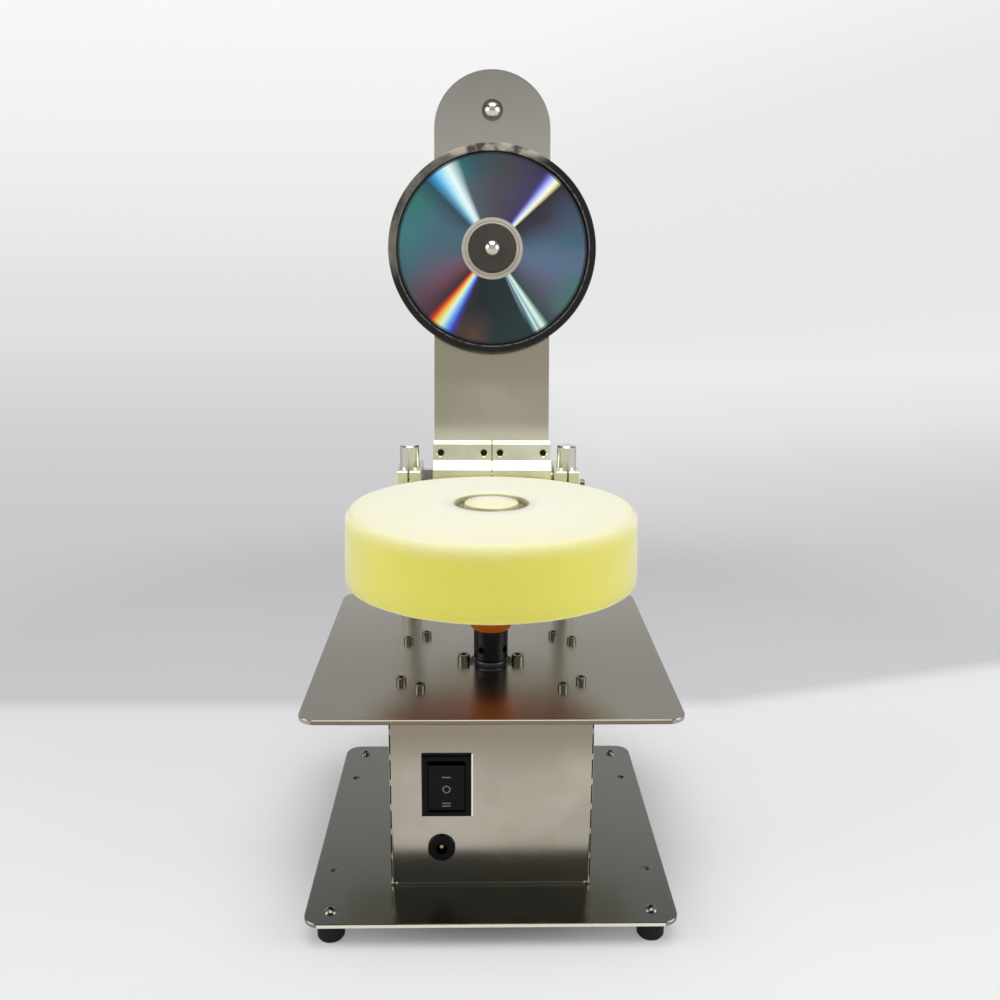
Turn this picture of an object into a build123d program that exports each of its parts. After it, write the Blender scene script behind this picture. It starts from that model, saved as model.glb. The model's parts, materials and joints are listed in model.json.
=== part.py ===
"""Disc polishing machine: a motor in a folded steel housing spins a foam pad, and a hinged arm
lowers a disc on a free-running tray onto it.

Working frame, in millimetres: X to the right, Y to the back, Z up, the spindle axis at X = Y = 0
and the floor at Z = 0. The finished pieces are shifted along Y so that the origin is the centre of
the machine's footprint.
"""

from build123d import *
import math
import os

# ---------------------------------------------------------------- driving dimensions
SHEET = 1.5                     # folded housing sheet
PLATE = 2.5                     # base, platform and arm plates
PLATE_SIZE = 190.0              # base plate and platform are both this square
PLATE_CORNER = 9.0
BASE_FRONT = -81.0              # front edge of the base plate
PLATFORM_FRONT = -74.0
FOOT_HEIGHT = 11.5
HOUSING_X = 53.0                # half width, outside
HOUSING_Y = 47.8                # half depth, outside
HOUSING_HEIGHT = 104.8
PAD_RADIUS = 78.4
PAD_BOTTOM = 171.5
PAD_TOP = 212.0
ROD_RADIUS = 6.0
ROD_X = 48.5                    # half the distance between the rods
ROD_SHIFT = -0.95               # the pair of rods stands a little left of the spindle
ROD_Y = 92.0
ROD_TOP = 225.6
PIVOT_Y = 106.0                 # cross shaft, the arm's hinge axis
PIVOT_Z = 202.3
ARM_LEAN = 9.7                  # degrees that the arm leans back at rest
ARM_PIVOT_GAP = 13.0            # from the pivot axis back to the arm's front face
ARM_WIDTH = 73.9
ARM_X = 1.5                     # the arm stands a little right of the spindle
TRAY_ALONG = 144.5              # tray centre, along the arm from the pivot
HANDLE_ALONG = 231.8
ARM_TIP_ALONG = 257.3
TRAY_RADIUS = 65.8
DISC_RADIUS = 60.0
SWITCH_X, SWITCH_Z = -23.25, 72.5
JACK_X, JACK_Z = -26.0, 36.1
RUNNING = 0.05                  # radial clearance of a running fit

BASE_TOP = FOOT_HEIGHT + PLATE
HOUSING_TOP = BASE_TOP + HOUSING_HEIGHT
PLATFORM_TOP = HOUSING_TOP + PLATE
BASE_CENTRE = BASE_FRONT + PLATE_SIZE / 2
PLATFORM_CENTRE = PLATFORM_FRONT + PLATE_SIZE / 2

# The knob behind the arm's tip reaches furthest back, so it sets the footprint's rear edge.
KNOB_RADIUS, KNOB_LENGTH, KNOB_ROUND = 13.0, 24.0, 5.0
LEAN = math.radians(ARM_LEAN)
ARM_FACE_Y = PIVOT_Y + ARM_PIVOT_GAP * math.cos(LEAN)
ARM_FACE_Z = PIVOT_Z - ARM_PIVOT_GAP * math.sin(LEAN)
REAR_REACH = (ARM_FACE_Y + (HANDLE_ALONG + KNOB_RADIUS - KNOB_ROUND) * math.sin(LEAN)
              + (PLATE + KNOB_LENGTH - KNOB_ROUND) * math.cos(LEAN) + KNOB_ROUND)
FOOTPRINT_CENTRE = (BASE_FRONT + REAR_REACH) / 2

# Arm frame: local x is X, local y runs up the arm, local z points out of its front face.
ARM_PLANE = Plane(origin=(0, ARM_FACE_Y, ARM_FACE_Z), x_dir=(1, 0, 0),
                  z_dir=(0, -math.cos(LEAN), math.sin(LEAN)))

pieces = {}


# ---------------------------------------------------------------- helpers
def rod(radius, bottom, top, x=0.0, y=0.0):
    """Upright cylinder between two heights."""
    return Pos(x, y, (bottom + top) / 2) * Cylinder(radius, top - bottom)


def rod_x(side):
    """X of the left (-1) or right (+1) guide rod."""
    return side * ROD_X + ROD_SHIFT


def block(x_span, y_span, z_span):
    """Box given by its low and high coordinates."""
    size = [high - low for low, high in (x_span, y_span, z_span)]
    centre = [(high + low) / 2 for low, high in (x_span, y_span, z_span)]
    return Pos(*centre) * Box(*size)


def hex_prism(across_flats, bottom, top, x=0.0, y=0.0, bore=0.0):
    """Upright hexagonal nut, with a bore where one is given."""
    outline = Pos(x, y, bottom) * RegularPolygon(across_flats / math.sqrt(3), 6)
    prism = extrude(outline, top - bottom)
    return prism - rod(bore, bottom - 1, top + 1, x, y) if bore else prism


def cap_screw(radius, length, head_radius, head_height, socket):
    """Socket head cap screw standing on Z = 0, its shank going down."""
    head = chamfer(rod(head_radius, 0, head_height).edges().group_by(Axis.Z)[-1], 0.35)
    recess = hex_prism(socket, head_height * 0.45, head_height + 1)
    return head - recess + rod(radius, -length, 0.01)


def round_screw(radius, length, head_radius, head_height, socket):
    """Low domed screw standing on Z = 0, its shank going down."""
    bulge = (head_radius**2 + head_height**2) / (2 * head_height)
    head = Pos(0, 0, head_height - bulge) * Sphere(bulge) & rod(head_radius, 0, head_height + 1)
    recess = hex_prism(socket, head_height * 0.4, head_height + 1)
    return head - recess + rod(radius, -length, 0.01)


def plate_with_round_corners(size, corner, centre_y, bottom, thickness):
    """Square plate whose upper and lower rims are broken by a small chamfer."""
    sheet = Pos(0, centre_y, bottom) * extrude(RectangleRounded(size, size, corner), thickness)
    rims = sheet.edges().group_by(Axis.Z)
    return chamfer(rims[0] + rims[-1], 0.4)


def revolved(points):
    """Solid of revolution about Z from (radius, height) corners."""
    wire = Polyline([(r, 0, z) for r, z in points], close=True)
    return revolve(make_face(wire), Axis.Z)


def on_arm(shape):
    """Carry a shape from the arm's frame into the machine's."""
    return ARM_PLANE.location * shape


def keep(node, *solids):
    """Store a node as one solid or as a group of separate solids."""
    pieces[node] = solids[0] if len(solids) == 1 else Compound(children=list(solids))


# ---------------------------------------------------------------- base and feet
FOOT_PLACES = [(x, y) for x in (-82, 82) for y in (-70, 98)]
SPARE_PLACES = [(x, y) for x in (-84.7, 84.7) for y in (-34.5, 65.9)]
BASE_SCREW_PLACES = [(x, y) for x in (-25, 25) for y in (-38, 38)]

base = plate_with_round_corners(PLATE_SIZE, PLATE_CORNER, BASE_CENTRE, FOOT_HEIGHT, PLATE)
for x, y in FOOT_PLACES + BASE_SCREW_PLACES:
    base -= rod(2.1, FOOT_HEIGHT - 1, BASE_TOP + 1, x, y)
for x, y in SPARE_PLACES:
    base -= rod(2.0, FOOT_HEIGHT - 1, BASE_TOP + 1, x, y)
keep("base_plate", base)

foot_form = revolved([(0, 0), (6.2, 0), (7, 1.2), (7, FOOT_HEIGHT), (0, FOOT_HEIGHT)])
foot_form -= rod(2.0, 2, FOOT_HEIGHT + 1)
keep("rubber_feet", *[Pos(x, y, 0) * foot_form for x, y in FOOT_PLACES])

foot_screw = Pos(0, 0, BASE_TOP) * round_screw(1.95, 11, 3.4, 1.9, 2.5)
keep("foot_screws", *[Pos(x, y, 0) * foot_screw for x, y in FOOT_PLACES])


# ---------------------------------------------------------------- folded housing
FLANGE_SCREWS = [(x, y) for x in (-37.1, 37.1) for y in (-37.1, 37.1)]
FLANGE_SCREWS += [(x, y) for x in (-47.3, 47.3) for y in (-28.65, 28.65)]
BRIDGE_PITCH, BRIDGE = 14.3, 3.4
FOLD_RADIUS = 2.0
CUTOUT_X, CUTOUT_Z = 11.0, 15.5          # half size of the switch's hole in the panel
JACK_THREAD = 5.5


def flanges(z_low):
    """Four flanges turned in at one end of the housing, as (side pair and front, back)."""
    z_span = (z_low, z_low + SHEET)
    front = block((-41.4, 41.4), (-HOUSING_Y + SHEET - 0.01, -32.2), z_span)
    left = block((-HOUSING_X + SHEET - 0.01, -42), (-36, 36), z_span)
    back = block((-41.4, 41.4), (32.2, HOUSING_Y - SHEET + 0.01), z_span)
    return front + left + mirror(left, Plane.YZ), back


def fold_slots():
    """Slots cut along the two front fold lines, which leave short bridges of sheet."""
    slot = Box(1.0, 9.0, BRIDGE_PITCH - BRIDGE)
    lowest = BASE_TOP + HOUSING_HEIGHT / 2 - 3 * BRIDGE_PITCH
    cutters = []
    for side in (-1, 1):
        corner = Pos(side * (HOUSING_X - 0.6), -HOUSING_Y + 0.6, 0) * Rot(0, 0, side * 45)
        cutters += [corner * Pos(0, 0, lowest + i * BRIDGE_PITCH) * slot for i in range(7)]
    return cutters


def upright_tube(half_x, half_y, radius):
    """Rounded rectangular prism over the housing's height."""
    return Pos(0, 0, BASE_TOP) * extrude(RectangleRounded(2 * half_x, 2 * half_y, radius),
                                         HOUSING_HEIGHT)


tube = upright_tube(HOUSING_X, HOUSING_Y, FOLD_RADIUS)
tube -= upright_tube(HOUSING_X - SHEET, HOUSING_Y - SHEET, FOLD_RADIUS - SHEET)
back_zone = block((-HOUSING_X + SHEET, HOUSING_X - SHEET), (HOUSING_Y - SHEET, HOUSING_Y + 1),
                  (BASE_TOP - 1, HOUSING_TOP + 1))
corner_zone = block((-HOUSING_X - 1, HOUSING_X + 1), (HOUSING_Y - FOLD_RADIUS, HOUSING_Y + 1),
                    (BASE_TOP - 1, HOUSING_TOP + 1))
shell_flanges_low, back_flange_low = flanges(BASE_TOP)
shell_flanges_high, back_flange_high = flanges(HOUSING_TOP - SHEET)
housing = tube - corner_zone + shell_flanges_low + shell_flanges_high
back_panel = block((-HOUSING_X + SHEET, HOUSING_X - SHEET), (HOUSING_Y - SHEET, HOUSING_Y),
                   (BASE_TOP, HOUSING_TOP)) + back_flange_low + back_flange_high
for x, y in FLANGE_SCREWS:
    hole = rod(1.6, HOUSING_TOP - SHEET - 1, HOUSING_TOP + 1, x, y)
    housing -= hole
    back_panel -= hole
for x, y in BASE_SCREW_PLACES:
    hole = rod(2.1, BASE_TOP - 1, BASE_TOP + SHEET + 1, x, y)
    housing -= hole
    back_panel -= hole
for slot_cutter in fold_slots():
    housing -= slot_cutter
for side in (-1, 1):
    relief = Pos(side * HOUSING_X, -HOUSING_Y, BASE_TOP) * Rot(0, 0, 45) * Box(5, 5, 3.0)
    housing -= relief
housing -= block((SWITCH_X - CUTOUT_X, SWITCH_X + CUTOUT_X), (-HOUSING_Y - 1, -HOUSING_Y + 3),
                 (SWITCH_Z - CUTOUT_Z, SWITCH_Z + CUTOUT_Z))
housing -= Pos(JACK_X, -HOUSING_Y, JACK_Z) * Rot(90, 0, 0) * Cylinder(JACK_THREAD + 0.1, 6)
keep("motor_housing", housing)
keep("housing_back", back_panel)

base_screw = Pos(0, 0, FOOT_HEIGHT) * Rot(180, 0, 0) * round_screw(1.95, 10, 3.6, 2.1, 2.5)
keep("base_screws", *[Pos(x, y, 0) * base_screw for x, y in BASE_SCREW_PLACES])
base_nut = hex_prism(7, BASE_TOP + SHEET, BASE_TOP + SHEET + 3.2, bore=1.95)
keep("base_nuts", *[Pos(x, y, 0) * base_nut for x, y in BASE_SCREW_PLACES])


# ---------------------------------------------------------------- platform
MOTOR_SCREW_X = 14.85
platform = plate_with_round_corners(PLATE_SIZE, PLATE_CORNER, PLATFORM_CENTRE, HOUSING_TOP, PLATE)
platform -= rod(12.5, HOUSING_TOP - 1, PLATFORM_TOP + 1)
for x, y in FLANGE_SCREWS:
    platform -= rod(1.6, HOUSING_TOP - 1, PLATFORM_TOP + 1, x, y)
for side in (-1, 1):
    platform -= rod(2.1, HOUSING_TOP - 1, PLATFORM_TOP + 1, side * MOTOR_SCREW_X)
    platform -= rod(4.1, HOUSING_TOP - 1, PLATFORM_TOP + 1, rod_x(side), ROD_Y)
keep("platform_plate", platform)

platform_screw = Pos(0, 0, PLATFORM_TOP) * cap_screw(1.5, 9, 2.75, 3, 2.5)
keep("platform_screws", *[Pos(x, y, 0) * platform_screw for x, y in FLANGE_SCREWS])
platform_nut = hex_prism(5.5, HOUSING_TOP - SHEET - 2.4, HOUSING_TOP - SHEET, bore=1.5)
keep("platform_nuts", *[Pos(x, y, 0) * platform_nut for x, y in FLANGE_SCREWS])


# ---------------------------------------------------------------- motor
CAN_RADIUS, CAN_LENGTH, CAN_WALL = 21.0, 57.0, 2.0
CAN_BOTTOM = HOUSING_TOP - CAN_LENGTH
BOSS_RADIUS, BOSS_HEIGHT = 8.75, 4.5
SHAFT_RADIUS = 2.5
END_CAP_DEPTH = 9.0
SHAFT_TOP = 139.0
SPINDLE_BORE = SHAFT_RADIUS + RUNNING

can = rod(CAN_RADIUS, CAN_BOTTOM, HOUSING_TOP) + rod(BOSS_RADIUS, HOUSING_TOP - 1,
                                                   HOUSING_TOP + BOSS_HEIGHT)
can -= rod(CAN_RADIUS - CAN_WALL, CAN_BOTTOM - 1, HOUSING_TOP - CAN_WALL)
can -= rod(SPINDLE_BORE, CAN_BOTTOM, HOUSING_TOP + BOSS_HEIGHT + 1)
for side in (-1, 1):
    can -= rod(2.0, HOUSING_TOP - CAN_WALL - 1, HOUSING_TOP + 1, side * MOTOR_SCREW_X)
keep("motor_can", can)

MAGNET_INNER = 15.5
magnet_ring = rod(CAN_RADIUS - CAN_WALL, CAN_BOTTOM + 12, HOUSING_TOP - 12)
magnet_ring -= rod(MAGNET_INNER, CAN_BOTTOM, HOUSING_TOP)
magnet_ring -= Box(60, 14, 400)
keep("motor_magnets", *magnet_ring.solids())

end_cap = rod(CAN_RADIUS, CAN_BOTTOM - END_CAP_DEPTH, CAN_BOTTOM)
end_cap = chamfer(end_cap.edges().group_by(Axis.Z)[0], 2)
end_cap -= rod(17, CAN_BOTTOM - END_CAP_DEPTH + 3, CAN_BOTTOM + 1)
end_cap += rod(6, CAN_BOTTOM - END_CAP_DEPTH, CAN_BOTTOM - 2)
end_cap -= rod(SPINDLE_BORE, CAN_BOTTOM - END_CAP_DEPTH + 1.5, CAN_BOTTOM + 1)
TERMINAL_X = 12.0
for side in (-1, 1):
    end_cap -= block((side * TERMINAL_X - 0.4, side * TERMINAL_X + 0.4), (-2.4, 2.4),
                     (CAN_BOTTOM - END_CAP_DEPTH - 1, CAN_BOTTOM - 4))
keep("motor_end_cap", end_cap)
terminals = []
for side in (-1, 1):
    tab = block((side * TERMINAL_X - 0.4, side * TERMINAL_X + 0.4), (-2.4, 2.4),
                (CAN_BOTTOM - END_CAP_DEPTH - 7, CAN_BOTTOM - 4))
    terminals.append(tab - Pos(side * TERMINAL_X, 0, CAN_BOTTOM - END_CAP_DEPTH - 4)
                     * Rot(0, 90, 0) * Cylinder(0.9, 4))
keep("motor_terminals", *terminals)

motor_screw = Pos(0, 0, PLATFORM_TOP) * cap_screw(2.0, 8, 3.5, 4, 3)
keep("motor_screws", *[Pos(side * MOTOR_SCREW_X, 0, 0) * motor_screw for side in (-1, 1)])


# ---------------------------------------------------------------- spindle
ARMATURE_RADIUS = 14.9
COUPLER_RADIUS = 9.35
COUPLER_BOTTOM, COUPLER_TOP = 124.1, 141.7
STUD_RADIUS, STUD_TOP = 5.0, 162.0

keep("motor_shaft", rod(SHAFT_RADIUS, CAN_BOTTOM - END_CAP_DEPTH + 2, SHAFT_TOP))

core = rod(ARMATURE_RADIUS, CAN_BOTTOM + 14, HOUSING_TOP - 14) - rod(SHAFT_RADIUS, 0, 200)
for i in range(5):
    core -= Rot(0, 0, i * 72) * block((-1.2, 1.2), (8, 20), (0, 200))
keep("motor_armature", core)
commutator = rod(6.5, CAN_BOTTOM + 1, CAN_BOTTOM + 12) - rod(SHAFT_RADIUS, 0, 200)
for i in range(5):
    commutator -= Rot(0, 0, i * 72) * block((-0.25, 0.25), (5, 10), (0, 200))
keep("motor_commutator", commutator)

coupler = rod(COUPLER_RADIUS, COUPLER_BOTTOM, COUPLER_TOP)
coupler = chamfer(coupler.edges().group_by(Axis.Z)[0] + coupler.edges().group_by(Axis.Z)[-1], 0.6)
coupler += rod(STUD_RADIUS, COUPLER_TOP - 1, STUD_TOP)
coupler -= rod(SHAFT_RADIUS, COUPLER_BOTTOM - 1, SHAFT_TOP + 1)
GRUB_RADIUS, GRUB_LENGTH, GRUB_Z = 2.0, 5.0, 130.5
GRUB_TURNS = (-125, -35, 55, 145)


def radial(shape, turn, height):
    """Turn a shape that lies along +X about the spindle and lift it."""
    return Pos(0, 0, height) * Rot(0, 0, turn) * shape


grub_hole = Pos(6, 0, 0) * Rot(0, 90, 0) * Cylinder(GRUB_RADIUS, 8)
grub = Rot(0, 90, 0) * (rod(GRUB_RADIUS, SHAFT_RADIUS, SHAFT_RADIUS + GRUB_LENGTH)
                        - hex_prism(2.0, SHAFT_RADIUS + 2.5, SHAFT_RADIUS + GRUB_LENGTH + 1))
for turn in GRUB_TURNS:
    coupler -= radial(grub_hole, turn, GRUB_Z)
keep("shaft_coupler", coupler)
keep("coupler_set_screws", *[radial(grub, turn, GRUB_Z) for turn in GRUB_TURNS])

BACKING_RADIUS = 62.0
backing = revolved([(0, STUD_TOP), (STUD_RADIUS, STUD_TOP), (STUD_RADIUS, COUPLER_TOP), (10.5, COUPLER_TOP),
                    (13.6, 146.5), (16, 155), (24, 161.5), (BACKING_RADIUS, 167.0),
                    (BACKING_RADIUS, PAD_BOTTOM), (0, PAD_BOTTOM)])
keep("pad_backing", backing)

GROOVE_INNER, GROOVE_OUTER, GROOVE_DEPTH = 14.35, 20.1, 4.0
SHOULDER_RADIUS, SHOULDER_Z = 77.6, 203.5    # the side leans in a little up to here
CROWN_RADIUS, CROWN = 74.0, 2.4              # the top is slightly domed out to this radius


def crown_height(radius):
    """Height of the pad's domed top at a distance from its axis."""
    return PAD_TOP - CROWN * (radius / CROWN_RADIUS) ** 2


CROWN_EDGE = crown_height(CROWN_RADIUS)
with BuildPart() as pad_builder:
    with BuildSketch(Plane.XZ):
        with BuildLine():
            Polyline((0, PAD_TOP), (0, PAD_BOTTOM), (PAD_RADIUS - 0.8, PAD_BOTTOM),
                     (PAD_RADIUS, PAD_BOTTOM + 0.8), (SHOULDER_RADIUS, SHOULDER_Z))
            ThreePointArc((SHOULDER_RADIUS, SHOULDER_Z),
                          (SHOULDER_RADIUS - 0.9, (SHOULDER_Z + CROWN_EDGE) / 2 + 0.9),
                          (CROWN_RADIUS, CROWN_EDGE))
            ThreePointArc((CROWN_RADIUS, CROWN_EDGE), (47, crown_height(47)),
                          (GROOVE_OUTER, crown_height(GROOVE_OUTER)))
            Polyline((GROOVE_OUTER, crown_height(GROOVE_OUTER)),
                     (GROOVE_OUTER - 0.3, PAD_TOP - GROOVE_DEPTH),
                     (GROOVE_INNER + 0.3, PAD_TOP - GROOVE_DEPTH), (GROOVE_INNER, PAD_TOP),
                     (0, PAD_TOP))
        make_face()
    revolve(axis=Axis.Z)
keep("foam_pad", pad_builder.part)


# ---------------------------------------------------------------- switch and power jack
BEZEL_X, BEZEL_Z, BEZEL_DEPTH = 12.9, 17.35, 2.2
WELL_X, WELL_Z = 9.7, 14.5
SWITCH_BODY_DEPTH = 22.0
PANEL = -HOUSING_Y
ROCKER_PIVOT_Y = PANEL + 3.5


def switch_block(half_x, half_z, y_span):
    """Box centred on the switch."""
    return block((SWITCH_X - half_x, SWITCH_X + half_x), y_span,
                 (SWITCH_Z - half_z, SWITCH_Z + half_z))


bezel = switch_block(BEZEL_X, BEZEL_Z, (PANEL - BEZEL_DEPTH, PANEL))
bezel = chamfer(bezel.edges().group_by(Axis.Y)[0], 0.7)
switch_body = bezel + switch_block(CUTOUT_X - 0.1, CUTOUT_Z - 0.1,
                                   (PANEL - 0.01, PANEL + SWITCH_BODY_DEPTH))
switch_body -= switch_block(WELL_X, WELL_Z, (PANEL - 5, PANEL + 12))
pivot_hole = Pos(SWITCH_X, ROCKER_PIVOT_Y, SWITCH_Z) * Rot(0, 90, 0) * Cylinder(1.2 + RUNNING,
                                                                           2 * WELL_X + 1.0)
switch_body -= pivot_hole
TAB_PLACES = [(x, z) for x in (-4.5, 4.5) for z in (-8, 0, 8)]
for x, z in TAB_PLACES:
    switch_body -= block((SWITCH_X + x - 2.4, SWITCH_X + x + 2.4),
                         (PANEL + SWITCH_BODY_DEPTH - 3, PANEL + SWITCH_BODY_DEPTH + 1),
                         (SWITCH_Z + z - 0.4, SWITCH_Z + z + 0.4))
keep("switch_body", switch_body)
keep("switch_terminals", *[block((SWITCH_X + x - 2.4, SWITCH_X + x + 2.4),
                                 (PANEL + SWITCH_BODY_DEPTH - 3, PANEL + SWITCH_BODY_DEPTH + 7),
                                 (SWITCH_Z + z - 0.4, SWITCH_Z + z + 0.4))
                           for x, z in TAB_PLACES])

ROCKER_X, ROCKER_Z = 9.3, 12.7
with BuildPart() as rocker_builder:
    with BuildSketch(Plane.YZ.offset(SWITCH_X - ROCKER_X)):
        with BuildLine():
            front_top = (PANEL - 3.4, SWITCH_Z + ROCKER_Z)
            front_low = (PANEL - 3.4, SWITCH_Z - ROCKER_Z)
            ThreePointArc(front_top, (PANEL - 1.3, SWITCH_Z), front_low)
            ThreePointArc(front_low, (PANEL + 8.0, SWITCH_Z), front_top)
        make_face()
    extrude(amount=2 * ROCKER_X)
rocker = rocker_builder.part
rocker += Pos(SWITCH_X, ROCKER_PIVOT_Y, SWITCH_Z) * Rot(0, 90, 0) * Cylinder(1.2, 2 * WELL_X + 0.6)
keep("switch_rocker", rocker)


def jack_round(radius, y_low, y_high):
    """Cylinder along Y on the power jack's axis."""
    return (Pos(JACK_X, (y_low + y_high) / 2, JACK_Z) * Rot(90, 0, 0)
            * Cylinder(radius, y_high - y_low))


JACK_FLANGE, JACK_BORE, JACK_DEPTH = 7.2, 3.15, 10.0
jack = jack_round(JACK_FLANGE, PANEL - 2, PANEL)
jack = chamfer(jack.edges().group_by(Axis.Y)[0], 0.6)
jack += jack_round(JACK_THREAD, PANEL - 0.01, PANEL + 14)
jack -= jack_round(JACK_BORE, PANEL - 3, PANEL + JACK_DEPTH)
jack -= jack_round(1.0, PANEL, PANEL + 20)
keep("power_jack", jack)
keep("power_jack_pin", jack_round(1.0, PANEL + 0.5, PANEL + 19))
jack_nut = (Pos(JACK_X, PANEL + SHEET, JACK_Z) * Rot(-90, 0, 0)
            * hex_prism(14, 0, 3, bore=JACK_THREAD))
keep("power_jack_nut", jack_nut)


# ---------------------------------------------------------------- guide rods
ROD_NECK = 4.0
for side, name in ((-1, "left"), (1, "right")):
    post = rod(ROD_RADIUS, PLATFORM_TOP, ROD_TOP, rod_x(side), ROD_Y)
    post = chamfer(post.edges().group_by(Axis.Z)[-1], 0.8)
    post += rod(ROD_NECK, HOUSING_TOP - 9, PLATFORM_TOP + 0.01, rod_x(side), ROD_Y)
    keep(f"guide_rod_{name}", post)
rod_washer = rod(8, HOUSING_TOP - 1.6, HOUSING_TOP) - rod(ROD_NECK, 0, 400)
rod_nut = hex_prism(13, HOUSING_TOP - 8, HOUSING_TOP - 1.6, bore=ROD_NECK)
keep("rod_washers", *[Pos(rod_x(side), ROD_Y, 0) * rod_washer for side in (-1, 1)])
keep("rod_nuts", *[Pos(rod_x(side), ROD_Y, 0) * rod_nut for side in (-1, 1)])


# ---------------------------------------------------------------- clamps and cross shaft
CLAMP_HALF = 7.5                # half width along X
CLAMP_FRONT, CLAMP_BACK = 78.7, 114.0
CLAMP_BOTTOM, CLAMP_TOP = 188.3, 211.5
CLAMP_SLOT = 1.3
CLAMP_BOLT_Y, CLAMP_BOLT_Z = 82.6, 203.3
CROSS_RADIUS = 4.0
BRIDGE_BOTTOM = CLAMP_BOTTOM - 5.0
BRIDGE_FRONT = 80.4
BRIDGE_SCREW_Y = (82.4, 101.5)
CROSS_LEFT = rod_x(-1) - CLAMP_HALF
CROSS_RIGHT = rod_x(1) + CLAMP_HALF


def along_x(radius, x_low, x_high, y, z):
    """Cylinder along X."""
    return Pos((x_low + x_high) / 2, y, z) * Rot(0, 90, 0) * Cylinder(radius, x_high - x_low)


def clamp_block(side):
    """Split block that grips one guide rod and carries one end of the cross shaft."""
    centre = rod_x(side)
    body = block((centre - CLAMP_HALF, centre + CLAMP_HALF), (CLAMP_FRONT, CLAMP_BACK),
                 (CLAMP_BOTTOM, CLAMP_TOP))
    body = chamfer(body.edges().filter_by(Axis.Z) + body.edges().group_by(Axis.Z)[-1], 0.6)
    body -= rod(ROD_RADIUS + RUNNING, 0, 400, centre, ROD_Y)
    body -= block((centre - CLAMP_SLOT / 2, centre + CLAMP_SLOT / 2), (0, ROD_Y), (0, 400))
    body -= along_x(CROSS_RADIUS, centre - 20, centre + 20, PIVOT_Y, PIVOT_Z)
    body -= along_x(1.6, centre - 20, centre + 20, CLAMP_BOLT_Y, CLAMP_BOLT_Z)
    for y in BRIDGE_SCREW_Y:
        body -= rod(1.6, CLAMP_BOTTOM - 1, CLAMP_BOTTOM + 8, centre, y)
    body -= rod(1.6, PIVOT_Z, CLAMP_TOP + 1, centre, PIVOT_Y)
    return body


keep("clamp_block_left", clamp_block(-1))
keep("clamp_block_right", clamp_block(1))

clamp_bolt = Rot(0, 90, 0) * cap_screw(1.5, 13.5, 2.75, 3, 2.5)
keep("clamp_bolts", *[Pos(rod_x(side) + CLAMP_HALF, CLAMP_BOLT_Y, CLAMP_BOLT_Z) * clamp_bolt
                      for side in (-1, 1)])
keep("cross_shaft", along_x(CROSS_RADIUS, CROSS_LEFT, CROSS_RIGHT, PIVOT_Y, PIVOT_Z))
shaft_grub = rod(1.5, PIVOT_Z + CROSS_RADIUS, CLAMP_TOP - 0.4) - hex_prism(1.5, CLAMP_TOP - 2.5,
                                                                        CLAMP_TOP)
keep("shaft_set_screws", *[Pos(rod_x(side), PIVOT_Y, 0) * shaft_grub for side in (-1, 1)])

bridge = block((CROSS_LEFT, CROSS_RIGHT), (BRIDGE_FRONT, 104), (BRIDGE_BOTTOM, CLAMP_BOTTOM))
bridge -= block((rod_x(-1) + CLAMP_HALF, rod_x(1) - CLAMP_HALF), (94.5, 110), (0, 400))
bridge = chamfer(bridge.edges().filter_by(Axis.Z), 0.5)
for side in (-1, 1):
    bridge -= rod(ROD_RADIUS + RUNNING, 0, 400, rod_x(side), ROD_Y)
    for y in BRIDGE_SCREW_Y:
        bridge -= rod(1.6, 0, 400, rod_x(side), y)
keep("bridge_plate", bridge)
bridge_screw = Pos(0, 0, BRIDGE_BOTTOM) * Rot(180, 0, 0) * round_screw(1.5, 12, 2.0, 1.6, 2)
keep("bridge_screws", *[Pos(rod_x(side), y, 0) * bridge_screw
                        for side in (-1, 1) for y in BRIDGE_SCREW_Y])


# ---------------------------------------------------------------- arm and pivot blocks
BLOCK_LENGTH, BLOCK_SEAM = 36.7, 0.5
BLOCK_HALF = 23.3               # half height along the arm
BLOCK_DEPTH = 2 * ARM_PIVOT_GAP
SHOULDER_DEPTH = 20.5
RIDGE_HALF, BEVEL = 4.9, 5.9
LIP = 2.5
BUSH_RADIUS = 6.5
BLOCK_LEFT = ARM_X - BLOCK_LENGTH - BLOCK_SEAM / 2
BLOCK_RIGHT = ARM_X + BLOCK_SEAM / 2
TAP_X, TAP_ALONG = 27.0 / 2, 15.6

block_outline = [(-BLOCK_HALF, 0), (-BLOCK_HALF, SHOULDER_DEPTH - LIP),
                 (-BLOCK_HALF + LIP, SHOULDER_DEPTH), (-RIDGE_HALF - BEVEL, SHOULDER_DEPTH),
                 (-RIDGE_HALF, BLOCK_DEPTH)]
block_outline += [(-along, depth) for along, depth in reversed(block_outline)]


def pivot_block(x_low):
    """Stepped aluminium pivot block, drawn in the arm's frame and pushed out along X."""
    profile = Polyline([(x_low, along, depth) for along, depth in block_outline], close=True)
    body = extrude(make_face(profile), BLOCK_LENGTH, dir=(1, 0, 0))
    ends = body.faces().filter_by(Axis.X)
    body = chamfer(ends[0].edges() + ends[-1].edges(), 0.3)
    body -= along_x(BUSH_RADIUS, x_low - 1, x_low + BLOCK_LENGTH + 1, 0, ARM_PIVOT_GAP)
    for x in (-TAP_X, TAP_X):
        for along in (-TAP_ALONG, TAP_ALONG):
            centre = Pos(x_low + BLOCK_LENGTH / 2 + x, along, 0)
            body -= centre * rod(2.0, -1, BLOCK_DEPTH)
            body -= centre * Pos(0, 0, SHOULDER_DEPTH - 0.35) * Cone(2.0, 2.8, 0.8)
    return body


def pivot_bush(x_low):
    """Plain bearing bush pressed into a pivot block."""
    sleeve = along_x(BUSH_RADIUS, x_low, x_low + BLOCK_LENGTH, 0, ARM_PIVOT_GAP)
    return sleeve - along_x(CROSS_RADIUS + RUNNING, x_low - 1, x_low + BLOCK_LENGTH + 1, 0,
                            ARM_PIVOT_GAP)


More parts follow.
